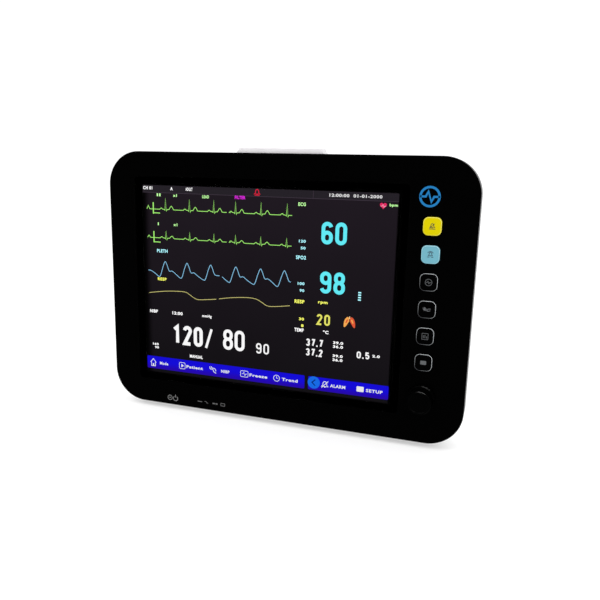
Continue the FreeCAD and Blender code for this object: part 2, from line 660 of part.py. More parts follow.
def main_board():
    """Processor board on brass standoffs behind the chassis plate."""
    y0 = CHASSIS_BACK + 7.0
    y1 = y0 + S["board"]
    chips = [((-60, -28), (y1 - 0.2, y1 + 3), (128, 160)), ((-10, 12), (y1 - 0.2, y1 + 1.6), (140, 156)),
             ((20, 42), (y1 - 0.2, y1 + 1.6), (140, 156)), ((-100, -76), (y1 - 0.2, y1 + 2.2), (80, 110)),
             ((50, 80), (y1 - 0.2, y1 + 9), (70, 78)), ((0, 30), (y1 - 0.2, y1 + 9), (70, 78)),
             ((-56, -32), (y1 + 2.9, y1 + 11), (132, 156))]
    board = circuit_board("main_board", ((-110, 90), (y0, y1), (62, 198)), chips)
    corners = [(x, z) for x in (-104.0, 84.0) for z in (68.0, 192.0)]
    posts = [rod(f"standoff_{i}", 2.8, (x, CHASSIS_BACK, z), 7.0) for i, (x, z) in enumerate(corners)]
    heads = [taper(f"board_screw_{i}", 2.8, 2.2, (x, y1, z), 1.6) for i, (x, z) in enumerate(corners)]
    return [board, group("board_standoffs", posts), group("board_screws", heads)]


def parameter_board():
    """Patient-signal board beside the socket panel, with two shield cans."""
    x = S["socket_x"] + 18.0
    cans = [((x + 1.4, x + 7), (-12, 24), (150, 196)), ((x + 1.4, x + 6), (30, 52), (120, 150)),
            ((x + 1.4, x + 4), (-10, 10), (118, 140))]
    return circuit_board("parameter_board", ((x, x + S["board"]), (-20, 58), (111, 203)), cans)


def power_board():
    """Mains supply board with transformer, capacitors and heat sink."""
    z = 100.0
    top = z + 1.6
    chips = [((34, 66), (10, 42), (top - 0.2, top + 26)), ((80, 112), (44, 48), (top - 0.2, top + 30)),
             ((20, 30), (-10, 20), (top - 0.2, top + 16))]
    base = circuit_board("power_base", ((14, 118), (-22, 58), (z, z + S["board"])), chips)
    cans = [rod(f"power_can_{i}", 8.5, (92, y, top - 0.2), 28.0, "Z") for i, y in enumerate((12, -8))]
    return join("power_board", [base] + cans)


# ---------------------------------------------------------------- rear cover
def cover_solid(name, inset):
    """The rear cover's outer form, or its hollow when inset: four rounded sections, ruled."""
    half_panel = S["panel_width"] / 2
    specs = [
        (BEZEL_REAR - (0.5 if inset else 0), half_panel - 1.5, COVER_BOTTOM - 2.5, COVER_TOP_FRONT, 30.5),
        (BEZEL_REAR + 5.0, half_panel - 5.0, COVER_BOTTOM, COVER_TOP_FRONT - 2.5, 28.0),
        (S["rear"] - 10.0, half_panel - 17.0, COVER_BOTTOM, COVER_TOP_REAR, 26.0),
        (S["rear"], half_panel - 26.0, COVER_BOTTOM + 9.0, COVER_TOP_REAR - 9.0, 20.0)]
    wall = S["cover_wall"] if inset else as_size(0)
    sections = []
    for i, (y, half, low, high, corner) in enumerate(specs):
        sketch = doc.addObject("Sketcher::SketchObject", f"{name}_section_{i}")
        depth = as_size(y) - (wall * (i / 3.0) if inset else 0)
        place(sketch, (0, depth, (as_size(low) + high) / 2), FreeCAD.Rotation(V(1, 0, 0), 90))
        draw_rounded_rect(sketch, half * 2 - wall * 2, as_size(high) - low - wall * 2, as_size(corner) - wall)
        sections.append(sketch)
    loft = doc.addObject("Part::Loft", name)
    loft.Sections = sections
    loft.Solid = True
    loft.Ruled = True
    return loft


def rear_cover():
    """Light shell with handle pocket, socket recess, input recess, battery seat and vents."""
    outer = cover_solid("cover_outer", False)
    outer_walls = cover_solid("cover_outer_copy", False)
    hollow = cover_solid("cover_hollow", True)
    shell = cut("cover_shell", outer, [hollow])
    rear, front = S["rear"], BEZEL_REAR
    width, height = S["panel_width"], S["panel_height"]
    rim_outer = rounded_block("rim_outer", "XZ_Plane", (0, PANEL_MID_Z), (width - 5.6, height - 5.6), 29.2,
                              (front - 4, front + 1.5))
    rim_inner = rounded_block("rim_inner", "XZ_Plane", (0, PANEL_MID_Z), (width - 12.5, height - 12.5), 25.8,
                              (front - 5, front + 2))
    rim = cut("cover_rim", rim_outer, [rim_inner])
    blocks = join("cover_blocks", [
        box("handle_well", (-103, 103), (-27, 63), (223, 262)),
        box("finger_well", (-63, 63), (13, 63), (209, 262)),
        box("socket_well", (-180, S["socket_x"]), (-25, 55), (77, 211)),
        box("input_well", (9, 115), (rear - 14, rear + 1), (31, 95)),
        box("door_seat", (-117.3, -8.7), (rear - 7.2, rear + 1), (30.7, 83.3))])
    walls = common("cover_walls", blocks, outer_walls)
    tubes = [rod(f"screw_tube_{i}", 6.5, (x, CHASSIS_FRONT + 14.5, z), rear - CHASSIS_FRONT - 16)
             for i, (x, z) in enumerate(POSTS)]
    bosses = [rod(f"mount_boss_{i}", 5.5, (x, rear - 13, z), 12.0) for i, (x, z) in enumerate(mount_spots())]
    solid = join("cover_solid", [shell, rim, walls] + tubes + bosses)
    tools = [
        rounded_block("handle_pocket", "XY_Plane", (0, 18), (194, 84), 8.0, (226, 270)),
        rounded_block("finger_scoop", "XY_Plane", (0, 38), (120, 44), 10.0, (212, 240)),
        rounded_block("socket_recess", "YZ_Plane", (S["socket_y"], 144), (74, 128), 6.0,
                      (-185, S["socket_x"] + 1)),
        rounded_block("input_recess", "XZ_Plane", (62, 63), (100, 58), 4.0, (rear - 15, rear + 1)),
        box("door_recess", (-112.3, -11.7), (rear - S["door_thick"] - 0.2, rear + 1), (33.7, 80.3)),
        box("battery_hole", (-107, -17), (rear - 9, rear + 1), (38, 76)),
        rod("hinge_hole", 1.02, (S["hinge_x"], rear - 2, 31.2), 51.6, "Z"),
        rod("pin_hole", S["pin_radius"] + 0.02, (-102, S["pivot_y"], S["pivot_z"]), 204.0, "X")]
    for i, (x, z) in enumerate(POSTS):
        tools.append(rod(f"screw_well_{i}", 4.6, (x, CHASSIS_FRONT + 18.5, z), 130.0))
        tools.append(rod(f"screw_hole_{i}", 2.2, (x, CHASSIS_FRONT + 12, z), 10.0))
    tools += [rod(f"insert_hole_{i}", 3.5, (x, rear - 10, z), 12.0) for i, (x, z) in enumerate(mount_spots())]
    tools += [rod(f"foot_hole_{i}", 3.0, (x, y, 5), 12.0, "Z") for i, (x, y) in enumerate(FOOT_SPOTS)]
    for side, word in ((-1, "left"), (1, "right")):
        for i in range(8):
            middle = (side * (70.0 + 6.5 * i), S["vent_z"])
            tools.append(rounded_block(f"vent_{word}_{i}", "XZ_Plane", middle, (3.0, 62), 1.2,
                                       (rear - 6, rear + 1)))
    for i in range(9):
        tools.append(rounded_block(f"floor_vent_{i}", "XY_Plane", (-32 + 8 * i, 18), (3.0, 46), 1.2, (5, 16)))
    return cut("rear_cover", solid, tools)


def mount_spots():
    """The four corners of the rear mounting pattern."""
    half = S["mount_pitch"] / 2
    return [(half * sx, S["mount_z"] + half * sz) for sx in (-1, 1) for sz in (-1, 1)]


def cover_fasteners():
    """Long housing screws and the brass inserts of the rear mounting pattern."""
    screws = [small_screw(f"housing_screw_{i}", 1.6, 3.8, (x, CHASSIS_FRONT + 18.5, z), 13.0)
              for i, (x, z) in enumerate(POSTS)]
    inserts = []
    for i, (x, z) in enumerate(mount_spots()):
        sleeve = rod(f"insert_sleeve_{i}", 3.48, (x, S["rear"] - 10, z), 10.0)
        thread = rod(f"insert_thread_{i}", S["mount_hole"], (x, S["rear"] - 9, z), 10.0)
        inserts.append(cut(f"insert_{i}", sleeve, [thread]))
    return [group("housing_screws", screws), group("mount_inserts", inserts)]


FOOT_SPOTS = [(x, y) for x in (-S["foot_x"], S["foot_x"]) for y in (S["foot_front_y"], S["foot_rear_y"])]


def feet():
    """Four rubber feet, each pushed into the cover's floor by a spigot."""
    made = []
    for i, (x, y) in enumerate(FOOT_SPOTS):
        pad_piece = taper(f"foot_pad_{i}", S["foot_radius"] - 1.5, S["foot_radius"], (x, y, 0),
                          S["foot_height"], "Z")
        spigot = rod(f"foot_spigot_{i}", 2.95, (x, y, S["foot_height"] - 1), 5.5, "Z")
        dish = taper(f"foot_dish_{i}", 5.0, 4.0, (x, y, -0.01), 1.2, "Z")
        made.append(cut(f"foot_{i}", join(f"foot_blank_{i}", [pad_piece, spigot]), [dish]))
    return group("feet", made)


# ---------------------------------------------------------------- handle
def handle():
    """Folding bail with its soft grip sleeve and two pivot pins."""
    half, y_piv, z_piv = S["handle_half"], S["pivot_y"], S["pivot_z"]
    thick = S["handle_thick"]
    y_back = y_piv + S["handle_reach"]
    low, high = z_piv - thick / 2, z_piv + thick / 2
    mid_y = y_piv + S["handle_reach"] / 2 - 10
    length = S["handle_reach"] + 20
    outer = rounded_block("bail_outer", "XY_Plane", (0, mid_y), (half * 2, length), 16.0, (low, high))
    inner = rounded_block("bail_inner", "XY_Plane", (0, mid_y - 14), (half * 2 - 28, length), 8.0,
                          (low - 1, high + 1))
    front = box("bail_front", (-half - 1, half + 1), (y_piv - 40, y_piv), (low - 1, high + 1))
    bail = cut("bail_u", outer, [inner, front])

    def long_edge(edge):
        limits = edge.BoundBox
        flat = limits.ZLength < 0.01
        return flat and limits.YMax > y_piv.value + 0.5
    soft = rounded("bail_soft", bail, 2.6, long_edge)
    knuckles = [rod(f"bail_knuckle_{i}", thick / 2, (x, y_piv, z_piv), 14.0, "X")
                for i, x in enumerate((-half, half - 14))]
    bores = [rod(f"bail_bore_{i}", S["pin_radius"] + S["run_gap"], (x, y_piv, z_piv), 18.0, "X")
             for i, x in enumerate((-half - 2, half - 16))]
    bail_done = cut("handle", join("bail_blank", [soft] + knuckles), bores)
    bar_y = y_back - 7
    sleeve = rounded_block("grip_outer", "YZ_Plane", (bar_y, z_piv), (17.0, 15.0), 5.0, (-55, 55))
    core = rounded_block("grip_core", "YZ_Plane", (bar_y, z_piv), (14.0, thick), 2.6, (-56, 56))
    grip = cut("handle_grip", sleeve, [core])
    pins = [rod(f"handle_pin_{i}", S["pin_radius"], (x, y_piv, z_piv), 21.5, "X")
            for i, x in enumerate((-half - 7.5, half - 14))]
    return [bail_done, grip, group("handle_pins", pins)]


# ---------------------------------------------------------------- patient sockets
SOCKET_Z = {"ecg": 190.0, "spo2": 165.0, "temp_1": 143.0, "temp_2": 125.0, "nibp": 99.0}


def ring_socket(name, z, flange_radius, barrel_radius, bore_radius, bore_depth, proud):
    """Panel socket along -X: a flange on the outer face, a barrel behind it, a blind bore."""
    x, y = S["socket_x"], S["socket_y"]
    flange = taper(name + "_flange", flange_radius - 1.2, flange_radius, (x - proud, y, z), proud, "X")
    barrel = rod(name + "_barrel", barrel_radius, (x - 0.1, y, z), bore_depth + 3.1, "X")
    bore = rod(name + "_bore", bore_radius, (x - proud - 1, y, z), bore_depth + proud + 1, "X")
    return cut(name, join(name + "_blank", [flange, barrel]), [bore])


def contact_socket(name, z, ring_sizes, contacts):
    """Panel socket with contact holes in the floor of its bore."""
    ring = ring_socket(name + "_ring", z, *ring_sizes)
    floor_x = S["socket_x"] + ring_sizes[3]
    holes = [rod(f"{name}_contact_{i}", 0.7, (floor_x - 0.5, S["socket_y"] + dy, z + dz), 2.5, "X")
             for i, (dy, dz) in enumerate(contacts)]
    return cut(name, ring, holes)


def patient_sockets():
    """Connector panel with the ECG, SpO2, temperature and cuff sockets."""
    x, y = S["socket_x"], S["socket_y"]
    ecg = contact_socket("ecg_socket", SOCKET_Z["ecg"], (11.0, 8.9, 6.8, 12.0, 4.0),
                         ((3.6, 0), (-3.6, 0), (0, 3.6), (0, -3.6), (2.5, 2.5), (-2.5, -2.5)))
    spo2 = contact_socket("spo2_socket", SOCKET_Z["spo2"], (9.0, 7.4, 5.5, 11.0, 4.0),
                          ((2.8, 0), (-2.8, 0), (0, 2.8), (0, -2.8)))
    temps = [ring_socket(f"temp_ring_{i}", SOCKET_Z[key], 6.6, 5.4, 3.2, 13.0, 2.5)
             for i, key in enumerate(("temp_1", "temp_2"))]
    nibp = ring_socket("nibp_port", SOCKET_Z["nibp"], 9.0, 6.9, 4.0, 12.0, 5.0)
    plate = box("socket_plate", (x, x + 2), (-25, 55), (77, 211))
    radii = {"ecg": 9.0, "spo2": 7.5, "temp_1": 5.5, "temp_2": 5.5, "nibp": 7.0}
    holes = [rod("socket_hole_" + key, radius, (x - 1, y, SOCKET_Z[key]), 4.0, "X")
             for key, radius in radii.items()]
    return [cut("connector_panel", plate, holes), ecg, spo2, group("temp_sockets", temps), nibp]


def cuff_air():
    """Pump, valve block and hose of the cuff circuit."""
    y, z = S["socket_y"], SOCKET_Z["nibp"]
    motor = rod("pump_motor", 13.5, (-96, y, z), 46.0, "X")
    cap = rod("pump_cap", 11.0, (-104, y, z), 9.0, "X")
    spout = rod("pump_spout", 2.0, (-112, y, z), 9.0, "X")
    pump = join("nibp_pump", [motor, cap, spout])
    hose_outer = rod("hose_outer", 3.6, (-134.5, y, z), 28.5, "X")
    hose_inner = rod("hose_inner", 2.02, (-135, y, z), 30.0, "X")
    hose = cut("air_hose", hose_outer, [hose_inner])
    block = box("valve_block", (-44, -20), (y - 12, y + 12), (z - 9, z + 11))
    coil = rod("valve_coil", 7.0, (-32, y, z + 10), 16.0, "Z")
    return [pump, hose, join("nibp_valve", [block, coil])]


# ---------------------------------------------------------------- battery
def battery():
    """Tray, pack, hinged door and hinge pin at the rear."""
    rear = S["rear"]
    shell = box("tray_shell", (-110, -14), (8, rear - 7.4), (35, 79))
    hollow = box("tray_hollow", (-107.5, -16.5), (10, rear - 7), (37.5, 76.5))
    tray = cut("battery_tray", shell, [hollow])
    pack = rounded("battery_pack", box("pack_block", (-106.5, -17.5), (12, rear - 8), (38.5, 75.5)), 3.0,
                   lambda edge: edge.BoundBox.YLength > 1)
    x, thick = S["hinge_x"], S["door_thick"]
    half = thick / 2
    plate = box("door_plate", (x, -12), (rear - thick, rear), (34, 80))
    knuckle = rod("door_knuckle", half, (x, rear - half, 34), 46.0, "Z")
    bore = rod("door_bore", 1.05, (x, rear - half, 33), 48.0, "Z")
    notch = rod("door_notch", 9.0, (-12, rear + 6.5, 51), 12.0, "Z")
    door = cut("battery_door", join("door_blank", [plate, knuckle]), [bore, notch])
    pin = rod("door_hinge_pin", 1.0, (x, rear - half, 31.4), 51.2, "Z")
    return [tray, pack, door, pin]


# ---------------------------------------------------------------- input plate and speaker
def input_plate():
    """Steel plate with mains inlet, network jack and earthing stud."""
    y0 = S["rear"] - 15.5
    y1 = y0 + 1.5
    x, z, jack_x, stud_x, stud_z = S["inlet_x"], S["inlet_z"], S["jack_x"], S["stud_x"], S["stud_z"]
    plate = box("input_blank", (9, 115), (y0, y1), (31, 95))
    inlet_hole = box("inlet_hole", (x - 14, x + 14), (y0 - 1, y1 + 1), (z - 10, z + 10))
    jack_hole = box("jack_hole", (jack_x - 8, jack_x + 8), (y0 - 1, y1 + 1), (z - 7, z + 7))
    stud_hole = rod("stud_hole", 3.1, (stud_x, y0 - 1, stud_z), 4.0)
    plate_done = cut("input_plate", plate, [inlet_hole, jack_hole, stud_hole])
    body = box("inlet_body", (x - 13.8, x + 13.8), (y0 - 20, y1 + 0.5), (z - 9.8, z + 9.8))
    flange = rounded_block("inlet_flange", "XZ_Plane", (x, z), (50, 23), 5.0, (y1, y1 + 3))
    well = rounded_block("inlet_well", "XZ_Plane", (x, z), (24.2, 16.4), 2.5, (y0 - 12, y1 + 4))
    blades = [box(f"inlet_blade_{i}", (x + dx - 1, x + dx + 1), (y0 - 13, y1), (z + dz - 2, z + dz + 2))
              for i, (dx, dz) in enumerate(((-7, -2), (7, -2), (0, 2)))]
    inlet = join("mains_inlet", [cut("inlet_shell", join("inlet_core", [body, flange]), [well])] + blades)
    jack_body = box("jack_body", (jack_x - 7.8, jack_x + 7.8), (y0 - 16, y1 + 1), (z - 6.8, z + 6.8))
    jack_well = box("jack_well", (jack_x - 5.9, jack_x + 5.9), (y0 - 12, y1 + 2), (z - 4.6, z + 3.6))
    jack = cut("network_jack", jack_body, [jack_well])
    stud = join("ground_stud", [rod("stud_bar", 3.0, (stud_x, y0 - 4, stud_z), 17.0),
                                rod("stud_collar", 5.5, (stud_x, y1, stud_z), 3.0)])
    return [plate_done, inlet, jack, stud]


def speaker():
    """Round loudspeaker behind the right-hand vents: basket with magnet, and cone."""
    x, z, y = S["speaker_x"], S["vent_z"], S["rear"] - S["cover_wall"] - 0.2
    rim = rod("speaker_rim", 26.0, (x, y - 3, z), 3.0)
    basket = taper("speaker_basket", 14.0, 24.0, (x, y - 14, z), 11.2)
    magnet = rod("speaker_magnet", 15.0, (x, y - 24, z), 10.2)
    room = taper("speaker_room", 8.0, 23.0, (x, y - 12, z), 13.0)
    frame = cut("speaker_frame", join("speaker_blank", [rim, basket, magnet]), [room])
    cone_outer = taper("cone_outer", 6.8, 19.6, (x, y - 11.6, z), 10.6)
    cone_inner = taper("cone_inner", 6.0, 18.9, (x, y - 11.0, z), 10.8)
    cone = cut("speaker_cone", cone_outer, [cone_inner])
    return [frame, cone]


# ---------------------------------------------------------------- build, check and write
nodes = [front_bezel(), screen_glass(), glass_gasket()]
nodes += lcd_module()
nodes += keys()
nodes += key_electronics()
nodes += [indicator_window(), knob()]
nodes += encoder()
nodes += alarm_lamp()
nodes += chassis()
nodes += main_board()
nodes += [parameter_board(), power_board(), rear_cover()]
nodes += cover_fasteners()
nodes += [feet()]
nodes += handle()
nodes += patient_sockets()
nodes += cuff_air()
nodes += battery()
nodes += input_plate()
nodes += speaker()
doc.recompute()

for obj in doc.Objects:
    if "Invalid" in obj.State or "Error" in obj.State:
        raise RuntimeError(f"{obj.Name} failed: {obj.State}")

os.makedirs("parts", exist_ok=True)
for node in nodes:
    shape = node.Shape
    if shape.isNull() or not shape.isValid() or shape.Volume <= 0:
        raise RuntimeError(f"{node.Label} has no valid solid")
    shape.exportStep(f"parts/{node.Label}.step")
    print(f"{node.Label:22s} solids {len(shape.Solids)}  volume {shape.Volume / 1000:9.2f} cm3")
print(len(nodes), "nodes written")
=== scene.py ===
"""Looks of the bedside patient monitor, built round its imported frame.

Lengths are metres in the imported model's frame. Drawings on the display, the keys and the panel
are in millimetres from the middle of their own face, x to the viewer's right and y up.
"""
import math

import bpy
from mathutils import Matrix, Vector


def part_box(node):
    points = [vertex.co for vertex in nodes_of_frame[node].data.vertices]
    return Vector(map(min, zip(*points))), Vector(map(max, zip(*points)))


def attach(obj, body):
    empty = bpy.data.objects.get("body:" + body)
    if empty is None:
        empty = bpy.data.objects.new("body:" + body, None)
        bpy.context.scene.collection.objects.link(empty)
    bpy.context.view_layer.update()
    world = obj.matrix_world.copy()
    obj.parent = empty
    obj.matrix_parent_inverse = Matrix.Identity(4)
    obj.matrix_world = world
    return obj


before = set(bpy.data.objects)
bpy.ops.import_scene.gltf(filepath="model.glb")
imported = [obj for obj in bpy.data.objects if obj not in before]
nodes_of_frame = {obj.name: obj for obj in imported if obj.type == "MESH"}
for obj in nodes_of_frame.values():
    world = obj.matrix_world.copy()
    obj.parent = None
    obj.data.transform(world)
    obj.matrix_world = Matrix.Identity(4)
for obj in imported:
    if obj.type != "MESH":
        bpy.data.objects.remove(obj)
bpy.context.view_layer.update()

MM = 0.001
WEAVE = 0.06              # how far the display's colours drift from cell to cell
LETTER_WEIGHT = 0.034     # how much the small lettering is thickened
LETTER_SPACING = 1.12


# ---------------------------------------------------------------- materials
def srgb(red, green, blue):
    """Linear colour from the usual 0 to 255 display values."""
    def linear(value):
        value /= 255
        return value / 12.92 if value <= 0.04045 else ((value + 0.055) / 1.055) ** 2.4
    return (linear(red), linear(green), linear(blue), 1.0)


def shade(colour, factor):
    """The same colour, lighter or darker."""
    return tuple(min(1.0, channel * factor) for channel in colour[:3]) + (1.0,)


def start_material(name):
    """A new node material: its nodes, its links and its main shader."""
    material = bpy.data.materials.new(name)
    material.use_nodes = True
    tree = material.node_tree
    return material, tree.nodes, tree.links, tree.nodes["Principled BSDF"]


def noise_node(tree_nodes, links, place, scale, detail=3.0, stretch=(1, 1, 1)):
    """Noise over the object's own coordinates, at a scale in cycles per metre."""
    mapping = tree_nodes.new("ShaderNodeMapping")
    mapping.inputs["Scale"].default_value = stretch
    links.new(place.outputs["Object"], mapping.inputs["Vector"])
    noise = tree_nodes.new("ShaderNodeTexNoise")
    noise.inputs["Scale"].default_value = scale
    noise.inputs["Detail"].default_value = detail
    links.new(mapping.outputs["Vector"], noise.inputs["Vector"])
    return noise


def spread(tree_nodes, links, source, low, high):
    """Turn a 0.3 to 0.7 noise into a range of numbers."""
    ranged = tree_nodes.new("ShaderNodeMapRange")
    ranged.inputs["From Min"].default_value = 0.3
    ranged.inputs["From Max"].default_value = 0.7
    ranged.inputs["To Min"].default_value = low
    ranged.inputs["To Max"].default_value = high
    links.new(source, ranged.inputs["Value"])
    return ranged.outputs["Result"]


def ramp(tree_nodes, links, source, start, end, smooth=True):
    """A factor that goes from 0 to 1 between two positions."""
    ranged = tree_nodes.new("ShaderNodeMapRange")
    ranged.interpolation_type = "SMOOTHSTEP" if smooth else "LINEAR"
    ranged.inputs["From Min"].default_value = start
    ranged.inputs["From Max"].default_value = end
    links.new(source, ranged.inputs["Value"])
    return ranged.outputs["Result"]


def product(tree_nodes, links, first, second):
    """Two factors multiplied."""
    both = tree_nodes.new("ShaderNodeMath")
    both.operation = "MULTIPLY"
    links.new(first, both.inputs[0])
    links.new(second, both.inputs[1])
    return both.outputs["Value"]


def two_tones(tree_nodes, links, factor, first, second):
    """Colour that drifts between two tones with a factor."""
    mix = tree_nodes.new("ShaderNodeMix")
    mix.data_type = "RGBA"
    colour_a, colour_b, colour_out = mix.inputs[6], mix.inputs[7], mix.outputs[2]
    for socket, tone in ((colour_a, first), (colour_b, second)):
        if isinstance(tone, bpy.types.NodeSocket):
            links.new(tone, socket)
        else:
            socket.default_value = tone
    links.new(factor, mix.inputs[0])
    return colour_out


def moulded(name, colour, roughness, grain=0.0006, depth=0.00002, drift=0.06, specular=0.5,
            stretch=(1, 1, 1), metallic=0.0):
    """Moulded or machined surface: drifting tone, uneven gloss and a fine bumpy grain."""
    material, tree_nodes, links, shader = start_material(name)
    place = tree_nodes.new("ShaderNodeTexCoord")
    cloud = noise_node(tree_nodes, links, place, 22.0, 4.0, stretch)
    fine = noise_node(tree_nodes, links, place, 1.0 / grain, 2.0, stretch)
    drift_factor = spread(tree_nodes, links, cloud.outputs["Fac"], 0.0, 1.0)
    dark, light = shade(colour, 1 - drift), shade(colour, 1 + drift)
    links.new(two_tones(tree_nodes, links, drift_factor, dark, light), shader.inputs["Base Color"])
    links.new(spread(tree_nodes, links, cloud.outputs["Fac"], roughness * 0.9, roughness * 1.1),
              shader.inputs["Roughness"])
    bump = tree_nodes.new("ShaderNodeBump")
    bump.inputs["Strength"].default_value = 0.6
    bump.inputs["Distance"].default_value = depth
    links.new(fine.outputs["Fac"], bump.inputs["Height"])
    links.new(bump.outputs["Normal"], shader.inputs["Normal"])
    shader.inputs["Specular IOR Level"].default_value = specular
    shader.inputs["Metallic"].default_value = metallic
    return material


def clear_glass(name):
    """Cover glass with an anti-glare coating: nothing is mirrored in it, and it has the faintest tint."""
    material, tree_nodes, links, shader = start_material(name)
    place = tree_nodes.new("ShaderNodeTexCoord")
    cloud = noise_node(tree_nodes, links, place, 14.0, 3.0)
    tint = spread(tree_nodes, links, cloud.outputs["Fac"], 0.0, 1.0)
    links.new(two_tones(tree_nodes, links, tint, (0.985, 0.99, 0.99, 1), (1, 1, 1, 1)),
              shader.inputs["Base Color"])
    shader.inputs["Roughness"].default_value = 0.0
    shader.inputs["Transmission Weight"].default_value = 1.0
    shader.inputs["IOR"].default_value = 1.0
    return material


def milky(name, colour):
    """Translucent diffuser plastic."""
    material, tree_nodes, links, shader = start_material(name)
    place = tree_nodes.new("ShaderNodeTexCoord")
    cloud = noise_node(tree_nodes, links, place, 60.0, 3.0)
    factor = spread(tree_nodes, links, cloud.outputs["Fac"], 0.0, 1.0)
    links.new(two_tones(tree_nodes, links, factor, shade(colour, 0.96), shade(colour, 1.03)),
              shader.inputs["Base Color"])
    shader.inputs["Roughness"].default_value = 0.28
    shader.inputs["Subsurface Weight"].default_value = 0.5
    shader.inputs["Subsurface Radius"].default_value = (0.004, 0.004, 0.004)
    shader.inputs["Subsurface Scale"].default_value = 1.0
    return material


def glow(name, colour, strength):
    """Light from the display's own cells: the colour with a faint weave in it."""
    material, tree_nodes, links, shader = start_material(name)
    place = tree_nodes.new("ShaderNodeTexCoord")
    cloud = noise_node(tree_nodes, links, place, 700.0, 2.0)
    factor = spread(tree_nodes, links, cloud.outputs["Fac"], 0.0, 1.0)
    dark, light = shade(colour, 1 - WEAVE), shade(colour, 1 + WEAVE)
    links.new(two_tones(tree_nodes, links, factor, dark, light), shader.inputs["Emission Color"])
    shader.inputs["Base Color"].default_value = (0.0, 0.0, 0.0, 1)
    shader.inputs["Roughness"].default_value = 0.6
    shader.inputs["Specular IOR Level"].default_value = 0.0
    shader.inputs["Emission Strength"].default_value = strength
    return material


# ---------------------------------------------------------------- flat drawings
def arc(cx, cy, rx, ry, first, last, steps=9):
    """Points along part of an ellipse, angles in degrees."""
    angles = [math.radians(first + (last - first) * i / (steps - 1)) for i in range(steps)]
    return [(cx + rx * math.cos(a), cy + ry * math.sin(a)) for a in angles]


def rounded_outline(half_width, half_height, corner, steps=6):
    """Points round a rounded rectangle about the origin."""
    x, y = half_width - corner, half_height - corner
    points = []
    for cx, cy, first in ((x, y, 0), (-x, y, 90), (-x, -y, 180), (x, -y, 270)):
        points += arc(cx, cy, corner, corner, first, first + 90, steps)
    return points


def smooth_path(points, steps=7):
    """A curve through the points."""
    padded = [points[0]] + list(points) + [points[-1]]
    path = []
    for i in range(1, len(padded) - 2):
        a, b, c, d = padded[i - 1:i + 3]
        for k in range(steps):
            t = k / steps
            path.append(tuple(
                0.5 * (2 * b[j] + (c[j] - a[j]) * t + (2 * a[j] - 5 * b[j] + 4 * c[j] - d[j]) * t ** 2
                       + (3 * b[j] - a[j] - 3 * c[j] + d[j]) * t ** 3) for j in (0, 1)))
    return path + [points[-1]]


# Each side's direction to its viewer's right, and the way that it faces.
SIDES = {"front": (Vector((1, 0, 0)), Vector((0, -1, 0))),
         "left": (Vector((0, -1, 0)), Vector((-1, 0, 0))),
         "rear": (Vector((-1, 0, 0)), Vector((0, 1, 0)))}
UP = Vector((0, 0, 1))


